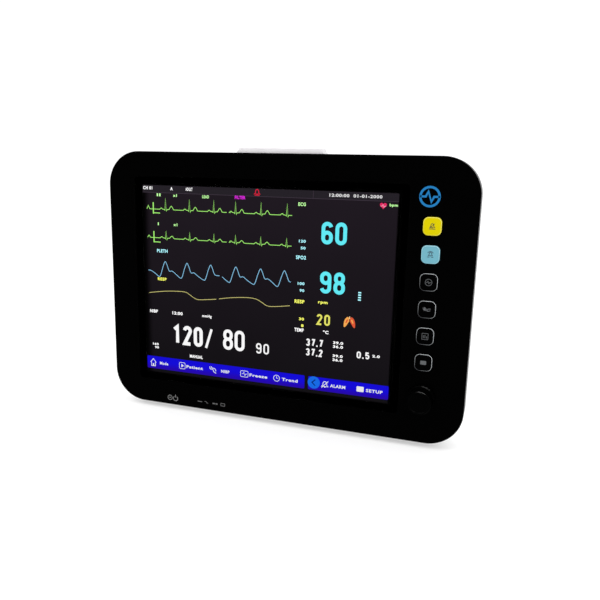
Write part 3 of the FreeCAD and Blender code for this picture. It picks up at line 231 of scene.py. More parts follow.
class Ink:
    """Shapes of one colour drawn flat on one face, gathered into a single mesh."""

    def __init__(self, name, origin, material, lift, body="housing", side="front"):
        self.name = name
        self.material = material
        self.body = body
        self.across, self.facing = SIDES[side]
        self.origin = Vector(origin) + self.facing * lift
        self.vertices = []
        self.faces = []

    def add(self, points, faces):
        """Take in points in millimetres and the faces between them."""
        start = len(self.vertices)
        self.vertices += [self.origin + (self.across * x + UP * y) * MM for x, y in points]
        self.faces += [tuple(start + i for i in face) for face in faces]

    def stroke(self, points, width, closed=False):
        """A line of even width."""
        count = len(points)
        edges = []
        for i, point in enumerate(points):
            before = points[i - 1] if i or closed else point
            after = points[(i + 1) % count] if i + 1 < count or closed else point
            into = Vector((point[0] - before[0], point[1] - before[1]))
            out = Vector((after[0] - point[0], after[1] - point[1]))
            into = into.normalized() if into.length > 1e-9 else out.normalized()
            out = out.normalized() if out.length > 1e-9 else into
            along = into + out
            along = along.normalized() if along.length > 1e-6 else into
            side = Vector((-along.y, along.x))
            reach = width / 2 / max(0.5, side.dot(Vector((-into.y, into.x))))
            edges.append((point[0] + side.x * reach, point[1] + side.y * reach))
            edges.append((point[0] - side.x * reach, point[1] - side.y * reach))
        spans = count if closed else count - 1
        self.add(edges, [(2 * i, 2 * i + 1, (2 * i + 3) % (2 * count), (2 * i + 2) % (2 * count))
                         for i in range(spans)])

    def fill(self, points):
        """A filled outline."""
        self.add(points, [tuple(range(len(points)))])

    def disc(self, x, y, radius):
        """A filled circle."""
        self.fill(arc(x, y, radius, radius, 0, 345, 24))

    def ring(self, x, y, radius, width):
        """An open circle."""
        self.stroke(arc(x, y, radius, radius, 0, 345, 24), width, closed=True)

    def block(self, x0, x1, y0, y1, corner=0.0):
        """A filled rectangle, with round corners if asked."""
        if corner:
            outline = rounded_outline((x1 - x0) / 2, (y1 - y0) / 2, corner)
            self.fill([(x + (x0 + x1) / 2, y + (y0 + y1) / 2) for x, y in outline])
        else:
            self.fill([(x0, y0), (x1, y0), (x1, y1), (x0, y1)])

    def text(self, words, x0, x1, y0, y1):
        """Lettering fitted to a box."""
        curve = bpy.data.curves.new("lettering", "FONT")
        curve.body = words
        curve.offset = LETTER_WEIGHT
        curve.space_character = LETTER_SPACING
        curve.resolution_u = 3
        holder = bpy.data.objects.new("lettering", curve)
        bpy.context.scene.collection.objects.link(holder)
        bpy.context.view_layer.update()
        mesh = bpy.data.meshes.new_from_object(holder.evaluated_get(bpy.context.evaluated_depsgraph_get()))
        xs = [v.co.x for v in mesh.vertices]
        ys = [v.co.y for v in mesh.vertices]
        left, low = min(xs), min(ys)
        grow_x = (x1 - x0) / (max(xs) - left)
        grow_y = (y1 - y0) / (max(ys) - low)
        points = [(x0 + (x - left) * grow_x, y0 + (y - low) * grow_y) for x, y in zip(xs, ys)]
        self.add(points, [tuple(face.vertices) for face in mesh.polygons])
        bpy.data.objects.remove(holder)
        bpy.data.curves.remove(curve)
        bpy.data.meshes.remove(mesh)

    def digits(self, words, x, y, width, height, weight, gap):
        """Tall stroke numerals from a left edge."""
        for sign in words:
            if sign == ".":
                self.block(x, x + weight, y, y + weight)
                x += weight + gap
                continue
            inner_w, inner_h = width - weight, height - weight
            left, low = x + weight / 2, y + weight / 2
            for points, closed in numeral(sign, inner_w, inner_h):
                self.stroke([(left + px, low + py) for px, py in points], weight, closed)
            x += width + gap

    def done(self):
        """Make the mesh, and let it ride on its body."""
        mesh = bpy.data.meshes.new(self.name)
        mesh.from_pydata(self.vertices, [], self.faces)
        mesh.update()
        piece = bpy.data.objects.new(self.name, mesh)
        bpy.context.scene.collection.objects.link(piece)
        mesh.materials.append(self.material)
        for polygon in mesh.polygons:
            if polygon.normal.dot(self.facing) < 0:
                polygon.flip()
        mesh.update()
        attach(piece, self.body)


def numeral(sign, w, h):
    """Centre lines, in a box, of a numeral that the display shows: a list of (points, closed)."""
    r = w / 2
    loop = h * 0.53

    def oval(top):
        """A narrow ring from the box's foot to a height."""
        return arc(r, top - r, r, r, 180, 0) + arc(r, r, r, r, 0, -180)

    ring = oval(loop)
    shapes = {
        "0": [(oval(h), True)],
        "1": [([(0.08 * w, h * 0.82), (0.62 * w, h), (0.62 * w, 0)], False)],
        "2": [(arc(r, h - r, r, r, 175, -28) + [(0, 0), (w, 0)], False)],
        "3": [(arc(r, h * 0.75, r, h * 0.25, 165, -90) + arc(r, h * 0.25, r, h * 0.25, 90, -165), False)],
        "5": [([(w * 0.95, h), (w * 0.08, h), (w * 0.04, h * 0.55)]
               + arc(r, h * 0.31, r, h * 0.31, 115, -160), False)],
        "6": [(ring, True), ([(0, loop - r), (0, h - r)] + arc(r, h - r, r, r, 180, 12), False)],
        "7": [([(0, h), (w, h), (w * 0.36, 0)], False)],
        "8": [(ring, True), ([(px * 0.92 + w * 0.04, h - py * 0.47 / 0.53) for px, py in ring], True)],
        "9": [([(w - px, h - py) for px, py in ring], True),
              ([(w, h - loop + r), (w, r)] + arc(r, r, r, r, 0, -168), False)],
        "/": [([(0, -h * 0.08), (w * 0.9, h * 1.03)], False)],
    }
    return shapes[sign]


# ---------------------------------------------------------------- carried-over pieces
def dress(material, *names):
    """Give CAD nodes a finished material."""
    for name in names:
        node = nodes_of_frame[name]
        node.data.materials.clear()
        node.data.materials.append(material)


def dress_frame():
    """Materials of every CAD node."""
    black = srgb(1.2, 1.2, 1.2)
    dress(moulded("gloss_black_moulding", black, 0.2, grain=0.004, depth=0.000004, specular=0.003),
          "front_bezel")
    dress(clear_glass("cover_glass"), "screen_glass")
    dress(moulded("smoked_window", black, 0.15, depth=0.000002, specular=0.004), "indicator_window")
    dress(moulded("yellow_keycap", srgb(190, 176, 2), 0.42, depth=0.000008, drift=0.03, specular=0.02),
          "alarm_silence_key")
    dress(moulded("blue_keycap", srgb(98, 152, 166), 0.42, depth=0.000008, drift=0.03, specular=0.02),
          "alarm_pause_key")
    dress(moulded("black_keycap", black, 0.3, depth=0.000006, specular=0.004),
          "freeze_key", "nibp_key", "trend_key", "menu_key", "power_key")
    dress(moulded("knob_black", black, 0.16, grain=0.0004, depth=0.000002, specular=0.005), "knob")
    dress(milky("lamp_diffuser", srgb(208, 206, 208)), "alarm_lamp", "lcd_backlight")
    dress(moulded("cover_plastic", srgb(180, 184, 184), 0.5, grain=0.0009, depth=0.00005, drift=0.02),
          "rear_cover", "battery_door")
    dress(moulded("handle_plastic", srgb(158, 162, 165), 0.45, grain=0.0009, depth=0.00004, drift=0.02),
          "handle")
    dress(moulded("grey_plastic", srgb(96, 100, 104), 0.5, grain=0.0008, depth=0.00004),
          "connector_panel", "battery_tray")
    dress(moulded("black_plastic", srgb(20, 20, 21), 0.45, grain=0.0006, depth=0.00002),
          "mains_inlet", "temp_sockets", "encoder_rotor", "speaker_frame", "nibp_valve")
    dress(moulded("dark_rubber", srgb(34, 35, 37), 0.8, grain=0.0007, depth=0.00006, specular=0.3),
          "feet", "handle_grip", "glass_gasket")
    dress(moulded("silicone", srgb(150, 152, 156), 0.7, grain=0.0007, depth=0.00003),
          "keypad_membrane", "air_hose")
    dress(moulded("socket_green", srgb(20, 128, 62), 0.35, depth=0.00001), "ecg_socket")
    dress(moulded("socket_blue", srgb(28, 92, 176), 0.35, depth=0.00001), "spo2_socket")
    dress(moulded("nickel", srgb(205, 205, 208), 0.18, depth=0.000003, metallic=1.0, stretch=(1, 9, 1)),
          "nibp_port", "network_jack", "encoder_shaft")
    dress(moulded("brass", srgb(206, 168, 92), 0.3, depth=0.000006, metallic=1.0, stretch=(1, 9, 1)),
          "ground_stud", "mount_inserts", "board_standoffs", "encoder_nut")
    dress(moulded("zinc_steel", srgb(176, 178, 180), 0.38, depth=0.00001, metallic=1.0, stretch=(1, 1, 14)),
          "input_plate", "lcd_frame", "chassis_screws", "board_screws", "housing_screws", "handle_pins",
          "door_hinge_pin", "encoder_body", "nibp_pump")
    dress(moulded("brushed_aluminium", srgb(196, 198, 202), 0.42, depth=0.000015, metallic=1.0,
                  stretch=(14, 1, 1)), "chassis")
    dress(moulded("solder_mask", srgb(18, 92, 48), 0.35, grain=0.002, depth=0.00003, drift=0.25),
          "keypad_board", "indicator_board", "encoder_board", "alarm_led_board", "main_board",
          "parameter_board", "power_board")
    dress(moulded("display_film", srgb(16, 16, 20), 0.25, depth=0.000002), "lcd_panel")
    dress(moulded("battery_film", srgb(40, 58, 92), 0.35, grain=0.002, depth=0.00002), "battery_pack")
    dress(moulded("pulp_cone", srgb(30, 30, 32), 0.9, grain=0.0012, depth=0.00008), "speaker_cone")


# ---------------------------------------------------------------- display picture
GREEN, CYAN, WAVE_BLUE = srgb(168, 246, 118), srgb(99, 235, 246), srgb(140, 202, 238)
AMBER, YELLOW, WHITE, RED = srgb(214, 206, 128), srgb(228, 226, 102), srgb(254, 252, 254), srgb(216, 34, 62)
PINK, ORANGE, LUNG_RED, ROSE = srgb(240, 44, 240), srgb(246, 170, 84), srgb(222, 88, 56), srgb(226, 44, 98)
PALE_GREEN, PALE_CYAN, PALE_YELLOW = srgb(188, 255, 160), srgb(172, 242, 255), srgb(250, 255, 106)
MENU_BLUE, MENU_VIOLET, BUTTON_BLUE = srgb(20, 14, 216), srgb(38, 10, 168), srgb(24, 106, 228)
GROUND_TOP, GROUND_LOW, HEADER = srgb(33, 27, 34), srgb(20, 18, 21), srgb(38, 34, 40)
HEADER_LINE = srgb(70, 60, 72)
WORD_STRENGTH = 1.2

# Millimetres from the display's middle.
HEADER_FOOT, SPLIT = 85.5, 47.8                         # the split parts the header and the menu bar
MENU_FOOT, MENU_TOP, MENU_LINE = -89.8, -77.0, -83.2    # the icons sit on the menu line
BEATS = (-98.5, -73.2, -48.0, -26.0, -1.0, 24.0)
TRACE_START, TRACE_END = -118.8, 28.7


def display_face():
    """Middle of the lit area, just behind the cover glass, and its half sizes in millimetres."""
    low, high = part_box("screen_glass")
    margin, shift_left, behind = 8.0 * MM, 0.9 * MM, 0.42 * MM
    half_width = (high.x - low.x) / 2 - margin
    half_height = (high.z - low.z) / 2 - margin
    middle = Vector(((low.x + high.x) / 2 - shift_left, high.y + behind, (low.z + high.z) / 2))
    return middle, half_width / MM, half_height / MM


screen_middle, half_w, half_h = display_face()
LAYER = 0.1 * MM
PRINT_LIFT = 0.05 * MM


def screen_ink(name, colour, layer=2, strength=1.0):
    """An ink that glows on the display; a higher layer lies in front."""
    return Ink(name, screen_middle, glow(name + "_light", colour, strength), layer * LAYER)


def word_ink(name, colour, rows):
    """Small lettering of one colour: each row is a word with its left, right, lower and upper edge."""
    ink = screen_ink(name, colour, strength=WORD_STRENGTH)
    for label, x0, x1, y0, y1 in rows:
        ink.text(label, x0, x1, y0, y1)
    return ink


def start_glow(name):
    """A material that only gives light, with the object's own position split into axes."""
    material, tree_nodes, links, shader = start_material(name)
    shader.inputs["Base Color"].default_value = (0.0, 0.0, 0.0, 1)
    shader.inputs["Specular IOR Level"].default_value = 0.0
    shader.inputs["Emission Strength"].default_value = 1.0
    place = tree_nodes.new("ShaderNodeTexCoord")
    split = tree_nodes.new("ShaderNodeSeparateXYZ")
    links.new(place.outputs["Object"], split.inputs["Vector"])
    return material, tree_nodes, links, shader, place, split


def dim_ground(name):
    """Dark grey of a lit but empty display: lighter at the top, fading to black at three edges."""
    material, tree_nodes, links, shader, place, split = start_glow(name)
    left, right = screen_middle.x - half_w * MM, screen_middle.x + half_w * MM
    bottom, top = screen_middle.z - half_h * MM, screen_middle.z + half_h * MM
    x, z = split.outputs["X"], split.outputs["Z"]
    edges = product(tree_nodes, links, ramp(tree_nodes, links, x, left, left + 9 * MM),
                    ramp(tree_nodes, links, x, right, right - 1.2 * MM))
    edges = product(tree_nodes, links, edges, ramp(tree_nodes, links, z, bottom - 1.6 * MM, bottom))
    cloud = noise_node(tree_nodes, links, place, 9.0, 2.0)
    level = product(tree_nodes, links, edges, spread(tree_nodes, links, cloud.outputs["Fac"], 0.9, 1.06))
    height = ramp(tree_nodes, links, z, bottom, top, smooth=False)
    grey = two_tones(tree_nodes, links, height, GROUND_LOW, GROUND_TOP)
    links.new(two_tones(tree_nodes, links, level, srgb(2, 2, 2), grey), shader.inputs["Emission Color"])
    return material


def menu_glow(name):
    """Blue of the lower bar, more violet towards its foot."""
    material, tree_nodes, links, shader, place, split = start_glow(name)
    foot = screen_middle.z + MENU_FOOT * MM
    height = ramp(tree_nodes, links, split.outputs["Z"], foot, foot + 8 * MM)
    cloud = noise_node(tree_nodes, links, place, 40.0, 2.0)
    level = product(tree_nodes, links, height, spread(tree_nodes, links, cloud.outputs["Fac"], 0.85, 1.0))
    links.new(two_tones(tree_nodes, links, level, MENU_VIOLET, MENU_BLUE), shader.inputs["Emission Color"])
    return material


def heart_trace(ink, base, peak, bump):
    """Electrocardiogram: small wave, spike, dip and round wave at each beat, with a sweep gap."""
    gap, width = (-35.0, -31.0), 0.6
    for start, end in ((TRACE_START, gap[0]), (gap[1], TRACE_END)):
        points = [(start, base)]
        if start == TRACE_START:
            points += [(start + 1.6, base + bump * 0.9), (start + 3.2, base)]
        for x in BEATS:
            if not start < x < end:
                continue
            points += [(x - 6.4, base), (x - 5.4, base + 1.0), (x - 4.4, base + 1.3),
                       (x - 3.4, base + 0.3), (x - 1.4, base), (x - 0.7, base - 0.7), (x, peak),
                       (x + 0.8, base - 1.5), (x + 1.5, base)]
            if x + 9 < end:
                points += [(x + 3.8, base + 0.2), (x + 5.2, base + bump * 0.75), (x + 6.2, base + bump),
                           (x + 7.2, base + bump * 0.7), (x + 8.4, base + 0.1), (x + 9.6, base - 0.1)]
        points.append((end, base))
        ink.stroke(points, width)


def scale_mark(ink, top, bottom, foot_y):
    """One-millivolt mark at the left of a trace."""
    ink.stroke([(-111.8, top), (-111.8, bottom)], 1.1)
    ink.stroke([(-111.8, foot_y), (-104.6, foot_y)], 0.8)


def pulse_trace(ink):
    """Pulse wave: steep rise, round peak, notch and slow fall."""
    peaks = (-100.2, -76.7, -51.7, -25.8, -1.0, 22.3)
    left = [(TRACE_START, 10.3), (-115.5, 9.9), (-110.5, 7.0)]
    for part, start, end in ((peaks[:3], left, (-42.4, 10.2)),
                             (peaks[3:], [(-39.6, 9.4)], (TRACE_END, 9.8))):
        points = list(start)
        for x in part:
            points += [(x - 7.6, 5.0), (x - 5.4, 5.8), (x - 2.4, 14.6), (x, 19.7), (x + 1.9, 17.0),
                       (x + 4.4, 10.9)]
            if x + 12 < end[0]:
                points += [(x + 7.6, 11.0), (x + 12.2, 7.8)]
        points.append(end)
        ink.stroke(smooth_path(points, 5), 0.6)


def breath_trace(ink):
    """Slow breathing wave."""
    first = [(-118.5, -12.2), (-103, -9.7), (-89.7, -8.5), (-78.8, -8.5), (-73, -11.3), (-67.2, -14.3),
             (-61.3, -14.5), (-45.8, -12.6)]
    second = [(-42.9, -12.0), (-29.7, -9.7), (-14.7, -8.3), (-5.5, -8.8), (0.3, -11.3), (6.2, -14.3),
              (13.7, -14.3), (28.3, -12.2)]
    for points in (first, second):
        ink.stroke(smooth_path(points), 0.5)


def heart_shape(x, y, size):
    """Outline of a heart about a point."""
    points = []
    for i in range(28):
        t = 2 * math.pi * i / 28
        px = 16 * math.sin(t) ** 3
        py = 13 * math.cos(t) - 5 * math.cos(2 * t) - 2 * math.cos(3 * t) - math.cos(4 * t)
        points.append((x + px * size / 32, y + (py + 2.5) * size / 32))
    return points


def bell(ink, x, y, size, line):
    """Outlined bell with its clapper."""
    s = size / 2
    dome = arc(x, y + s * 0.2, s * 0.6, s * 0.75, 180, 0)
    ink.stroke([(x - s, y - s * 0.6), (x - s * 0.6, y - s * 0.2)] + dome
               + [(x + s * 0.6, y - s * 0.2), (x + s, y - s * 0.6)], line, closed=True)
    ink.fill(arc(x, y - s * 0.62, s * 0.28, s * 0.32, 180, 360, 7))


def menu_icons(ink):
    """Line drawings of the lower bar."""
    y = MENU_LINE
    ink.stroke([(-119, y - 0.4), (-115.8, y + 3.4), (-112.6, y - 0.4)], 0.6)
    ink.stroke([(-118, y), (-118, y - 4), (-113.6, y - 4), (-113.6, y)], 0.6)
    ink.block(-116.5, -115.1, y - 3.8, y - 1.4)
    ink.stroke([(x - 83.2, py + y) for x, py in rounded_outline(3.2, 3.2, 1.4)], 0.5, closed=True)
    ink.fill([(-84.2, y - 1.9), (-81.4, y), (-84.2, y + 1.9)])
    ink.stroke(smooth_path([(-53, y + 3), (-52.4, y + 0.6), (-49.8, y + 0.4), (-48.6, y - 2),
                            (-46.2, y - 3.2)]), 0.7)
    ink.stroke(smooth_path([(-51.6, y + 3.2), (-50.6, y + 1.8), (-47.6, y + 1.2), (-46.4, y - 1.2)]), 0.7)
    ink.stroke([(x - 16.4, py + y) for x, py in rounded_outline(3.9, 3.0, 1.2)], 0.5, closed=True)
    ink.stroke([(-19, y), (-17.6, y), (-16.8, y + 1.7), (-15.8, y - 1.7), (-15, y), (-13.7, y)], 0.5)
    ink.ring(16.6, y, 3.0, 0.5)
    ink.stroke([(16.6, y + 2.0), (16.6, y), (18.2, y)], 0.45)
    bell(ink, 64.0, y, 6.2, 0.6)
    ink.stroke([(60.9, y - 3.2), (67.2, y + 3.4)], 0.6)
    ink.block(93.9, 100.5, y - 2.4, y + 2.6, 0.8)


def draw_grounds():
    """Unlit ground, header, menu bar and its round button."""
    ground = Ink("display_ground", screen_middle, dim_ground("display_ground_light"), 0.0)
    ground.block(-half_w - 1, half_w + 1, -half_h - 2.6, half_h + 1)
    ground.done()
    header = screen_ink("display_header", HEADER, 1)
    header.block(-half_w, SPLIT - 0.4, HEADER_FOOT, half_h)
    header.block(SPLIT + 0.4, half_w, HEADER_FOOT, half_h)
    header.done()
    lines = screen_ink("display_header_lines", HEADER_LINE, 2)
    line_y = HEADER_FOOT - 0.1
    lines.stroke([(-half_w, line_y), (half_w, line_y)], 0.35)
    lines.stroke([(SPLIT, line_y), (SPLIT, half_h)], 0.35)
    lines.done()
    bar = Ink("display_menu_bar", screen_middle, menu_glow("display_menu_bar_light"), LAYER)
    bar.block(-122.7, 44.2, MENU_FOOT, MENU_TOP, 1.0)
    bar.block(SPLIT, 122.9, MENU_FOOT, MENU_TOP, 1.0)
    bar.done()
    button = screen_ink("display_back_button", BUTTON_BLUE, 2)
    button.disc(53.3, -82.6, 5.9)
    button.done()


def draw_traces():
    """Heart, pulse and breath traces, with the words of the first."""
    green = screen_ink("display_heart_traces", GREEN)
    heart_trace(green, 69.8, 80.3, 3.4)
    heart_trace(green, 42.5, 49.4, 2.3)
    scale_mark(green, 76.2, 65.3, 66.2)
    scale_mark(green, 48.7, 37.8, 38.4)
    green.done()
    word_ink("display_green_words", PALE_GREEN, (
        ("II", -107.7, -103.7, 82.0, 84.7), ("x1", -90.4, -86.2, 82.0, 84.7),
        ("LEAD", -59.8, -52.8, 81.8, 84.6), ("I", -107.2, -106.2, 54.6, 57.2),
        ("x1", -90.4, -86.2, 54.6, 57.2), ("ECG", 34.3, 41.2, 78.5, 81.6),
        ("bpm", 115.2, 122.2, 80.6, 83.6))).done()
    pulse = screen_ink("display_pulse_trace", WAVE_BLUE)
    pulse_trace(pulse)
    pulse.done()
    breath = screen_ink("display_breath_trace", AMBER)
    breath_trace(breath)
    breath.done()


def draw_numbers():
    """Tall numbers and small lettering, colour by colour."""
    cyan = screen_ink("display_cyan_numbers", CYAN)
    cyan.digits("60", 56.3, 46.0, 10.5, 19.8, 3.4, 2.1)
    cyan.digits("98", 56.3, 2.0, 10.5, 19.9, 3.4, 2.1)
    cyan.done()
    words = word_ink("display_cyan_words", PALE_CYAN, (
        ("PLETH", -108.8, -97.2, 28.4, 31.6), ("120", 35.6, 42.0, 46.3, 48.8),
        ("50", 37.4, 42.0, 40.2, 42.7), ("SPO2", 33.2, 42.6, 31.2, 34.6),
        ("100", 35.4, 41.8, 7.9, 10.5), ("90", 37.4, 41.8, 1.6, 4.2)))
    for i in range(4):
        words.block(91.6, 94.2, -1.8 + 2.2 * i, -0.6 + 2.2 * i)
    words.done()

    yellow = screen_ink("display_yellow_numbers", YELLOW)
    yellow.digits("20", 54.2, -27.5, 5.4, 10.2, 1.7, 1.8)
    yellow.done()
    word_ink("display_yellow_words", PALE_YELLOW, (
        ("RESP", -108.6, -99.0, 0.9, 3.9), ("RESP", 32.8, 42.2, -9.1, -5.7),
        ("rpm", 55.2, 64.0, -8.3, -5.6), ("30", 37.4, 42.2, -24.8, -22.2),
        ("8", 39.6, 42.0, -31.0, -28.4))).done()

    white = screen_ink("display_white_numbers", WHITE)
    white.digits("120", -93.6, -61.8, 9.8, 19.8, 3.5, 1.9)
    white.digits("/", -58.2, -61.8, 9.2, 19.8, 2.5, 0)
    white.digits("80", -38.8, -61.2, 10.4, 20.2, 3.1, 1.7)
    white.digits("90", -4.6, -61.2, 5.6, 10.2, 1.5, 1.9)
    white.digits("37.7", 44.8, -48.2, 3.7, 7.0, 1.4, 1.2)
    white.digits("37.2", 44.8, -57.4, 3.7, 7.0, 1.4, 1.2)
    white.digits("0.5", 92.6, -54.4, 3.9, 6.4, 1.3, 1.3)
    white.done()
    word_ink("display_white_words", WHITE, (
        ("CH 01", -122.4, -112.4, 88.0, 91.2), ("A", -93.1, -90.6, 88.0, 91.0),
        ("ADULT", -77.0, -69.8, 88.0, 91.0),
        ("TEMP", 33.2, 42.2, -35.7, -32.3), ("°C", 60.6, 65.8, -35.2, -32.0),
        ("NIBP", -118.2, -109.4, -32.0, -28.8), ("12:00", -93.2, -82.0, -31.9, -28.8),
        ("mmHg", -60.8, -50.8, -32.2, -28.8), ("160", -115.8, -109.4, -65.2, -62.8),
        ("90", -113.6, -109.2, -68.6, -66.2), ("MANUAL", -74.6, -60.6, -73.8, -70.6),
        ("39.0", 70.4, 79.8, -43.7, -41.1), ("36.0", 70.4, 79.8, -47.3, -44.7),
        ("39.0", 70.4, 79.8, -56.0, -53.4), ("36.0", 70.4, 79.8, -59.7, -57.1),
        ("2.0", 106.8, 113.6, -52.0, -49.6))).done()
    clock = screen_ink("display_clock", WHITE, strength=0.8)
    clock.text("12:00:00  01-01-2000", 62.4, 108.8, 87.5, 90.3)
    clock.done()


def draw_menu():
    """Words and icons of the menu bar."""
    labels = screen_ink("display_menu_words", WHITE, 3, strength=0.85)
    for label, x0, x1 in (("Mode", -108.3, -99.0), ("Patient", -78.6, -60.6), ("NIBP", -40.8, -32.0),
                          ("Freeze", -11.0, 7.2), ("Trend", 21.8, 37.6), ("ALARM", 69.0, 83.4),
                          ("SETUP", 102.6, 117.8)):
        labels.text(label, x0, x1, -85.0, -82.0)
    menu_icons(labels)
    labels.done()
    arrow = screen_ink("display_back_arrow", srgb(10, 36, 110), 3)
    arrow.stroke([(54.8, -79.6), (51.6, -82.6), (54.8, -85.6)], 1.0)
    arrow.done()


def draw_pictures():
    """Beating heart, red bell, filter word and lungs."""
    heart = screen_ink("display_heart", ROSE)
    heart.fill(heart_shape(109.9, 81.3, 6.0))
    heart.done()
    beat = screen_ink("display_heart_beat", srgb(255, 176, 200), 3)
    beat.stroke([(107.5, 81.3), (109.0, 81.3), (109.7, 82.7), (110.4, 80.1), (111.0, 81.3),
                 (112.3, 81.3)], 0.4)
    beat.done()
    alarm = screen_ink("display_alarm_sign", RED)
    bell(alarm, -5.0, 89.0, 5.2, 0.8)
    alarm.stroke([(-7.4, 86.3), (-2.6, 86.3)], 0.6)
    alarm.done()
    note = screen_ink("display_filter_word", PINK)
    note.text("FILTER", -26.8, -16.4, 82.3, 85.3)
    note.done()
    lobe = [(0.3, 0.5), (0.7, 3.7), (2.2, 4.2), (4.2, 2.1), (5.2, -1.6), (5.0, -5.0), (3.5, -4.5),
            (1.9, -2.1)]
    inner = [(1.4, 1.2), (1.9, 2.4), (2.9, 1.2), (3.6, -1.0), (2.8, -1.2)]
    chest_x, chest_y = 84.8, -21.8
    for name, light, dark, side in (("left", ORANGE, LUNG_RED, -1), ("right", LUNG_RED, ORANGE, 1)):
        for part, colour, outline, layer in (("lung", light, lobe, 2), ("lung_patch", dark, inner, 3)):
            ink = screen_ink(f"display_{name}_{part}", colour, layer)
            edge = smooth_path(outline + [outline[0]], 4)[:-1]
            ink.fill([(chest_x + side * x, chest_y + y) for x, y in edge])
            ink.done()
    airway = screen_ink("display_airway", srgb(250, 206, 150), 3)
    airway.stroke([(chest_x, chest_y + 5.0), (chest_x, chest_y + 2.6)], 0.9)
    airway.done()


def draw_display():
    """Everything that the display shows, from the ground up."""
    draw_grounds()
    draw_traces()
    draw_numbers()
    draw_menu()
    draw_pictures()


def screen_border():
    """Black ink on the back of the cover glass, round the lit area."""
    low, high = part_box("screen_glass")
    clear, lower = 0.2, 0.7     # gap at the glass's edge, and half of the strip shown below the menu bar
    full_w, full_h = (high.x - low.x) / 2 / MM - clear, (high.z - low.z) / 2 / MM - clear
    material = moulded("border_ink", srgb(2, 2, 2), 0.3, depth=0.000001, specular=0.0)
    face = Vector(((low.x + high.x) / 2, high.y + 0.03 * MM, screen_middle.z))
    shift = (screen_middle.x - face.x) / MM
    ink = Ink("glass_border_print", face, material, 0.0)
    outer = rounded_outline(full_w, full_h, 3.8, 8)
    inner = [(x + shift, y - lower) for x, y in rounded_outline(half_w, half_h + lower, 0.9, 8)]
    count = len(outer)
    ink.add(outer + inner, [(i, (i + 1) % count, count + (i + 1) % count, count + i) for i in range(count)])
    ink.done()


# ---------------------------------------------------------------- keys and printed signs
def face_of(node):
    """Middle of a CAD node's front face."""
    low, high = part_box(node)
    return Vector(((low.x + high.x) / 2, low.y, (low.z + high.z) / 2))


def print_ink(name, node, material, body):
    """Paint on a node's front face."""
    return Ink(name, face_of(node), material, PRINT_LIFT, body)


def painted_highlight_rim_material(name, shaded_tone, bright):
    """Painted highlight and shade on a key's shoulder line: bright at the key's upper right, where the
    light falls, and shaded at its lower left.
    """
    material, tree_nodes, links, shader = start_material(name)
    place = tree_nodes.new("ShaderNodeTexCoord")
    # Painted light: the tone follows a direction toward the upper right, so that side reads lit and the
    # lower left reads shaded.
    toward = tree_nodes.new("ShaderNodeVectorMath")
    toward.operation = "DOT_PRODUCT"
    toward.inputs[1].default_value = (0.6, 0.0, 0.8)
    links.new(place.outputs["Object"], toward.inputs[0])
    side = tree_nodes.new("ShaderNodeMapRange")
    side.inputs["From Min"].default_value = -8 * MM
    side.inputs["From Max"].default_value = 6 * MM
    links.new(toward.outputs["Value"], side.inputs["Value"])
    # Painted shade at the lower left, painted highlight at the upper right.
    tone = two_tones(tree_nodes, links, side.outputs["Result"], shaded_tone, bright)
    links.new(tone, shader.inputs["Base Color"])
    grain = noise_node(tree_nodes, links, place, 900.0, 2.0)
    links.new(spread(tree_nodes, links, grain.outputs["Fac"], 0.3, 0.45), shader.inputs["Roughness"])
    shader.inputs["Specular IOR Level"].default_value = 0.1
    return material


def rim(name, node, material):
    """Narrow half-round line along a square key's shoulder, with a painted highlight where the bevel
    catches the light.
    """
    low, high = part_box(node)
    inset, corner, radius, sides = 1.95, 4.2, 0.23 * MM, 8
    reach = (high.z - low.z) / 2 / MM - inset
    outline = [(x * MM, z * MM) for x, z in rounded_outline(reach, reach, corner, 8)]
    vertices = []
    for x, z in outline:
        out = Vector((x, z)).normalized()
        for k in range(sides):
            a = 2 * math.pi * k / sides
            push = radius * math.cos(a)
            vertices.append((x + out.x * push, radius * math.sin(a), z + out.y * push))
    count = len(outline)
    faces = [(i * sides + k, i * sides + (k + 1) % sides,
              ((i + 1) % count) * sides + (k + 1) % sides, ((i + 1) % count) * sides + k)
             for i in range(count) for k in range(sides)]
    mesh = bpy.data.meshes.new(name)
    mesh.from_pydata(vertices, [], faces)
    mesh.polygons.foreach_set("use_smooth", [True] * len(faces))
    mesh.materials.append(material)
    piece = bpy.data.objects.new(name, mesh)
    piece.location = face_of(node) + Vector((0, 0.2 * MM, 0))
    bpy.context.scene.collection.objects.link(piece)
    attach(piece, node)


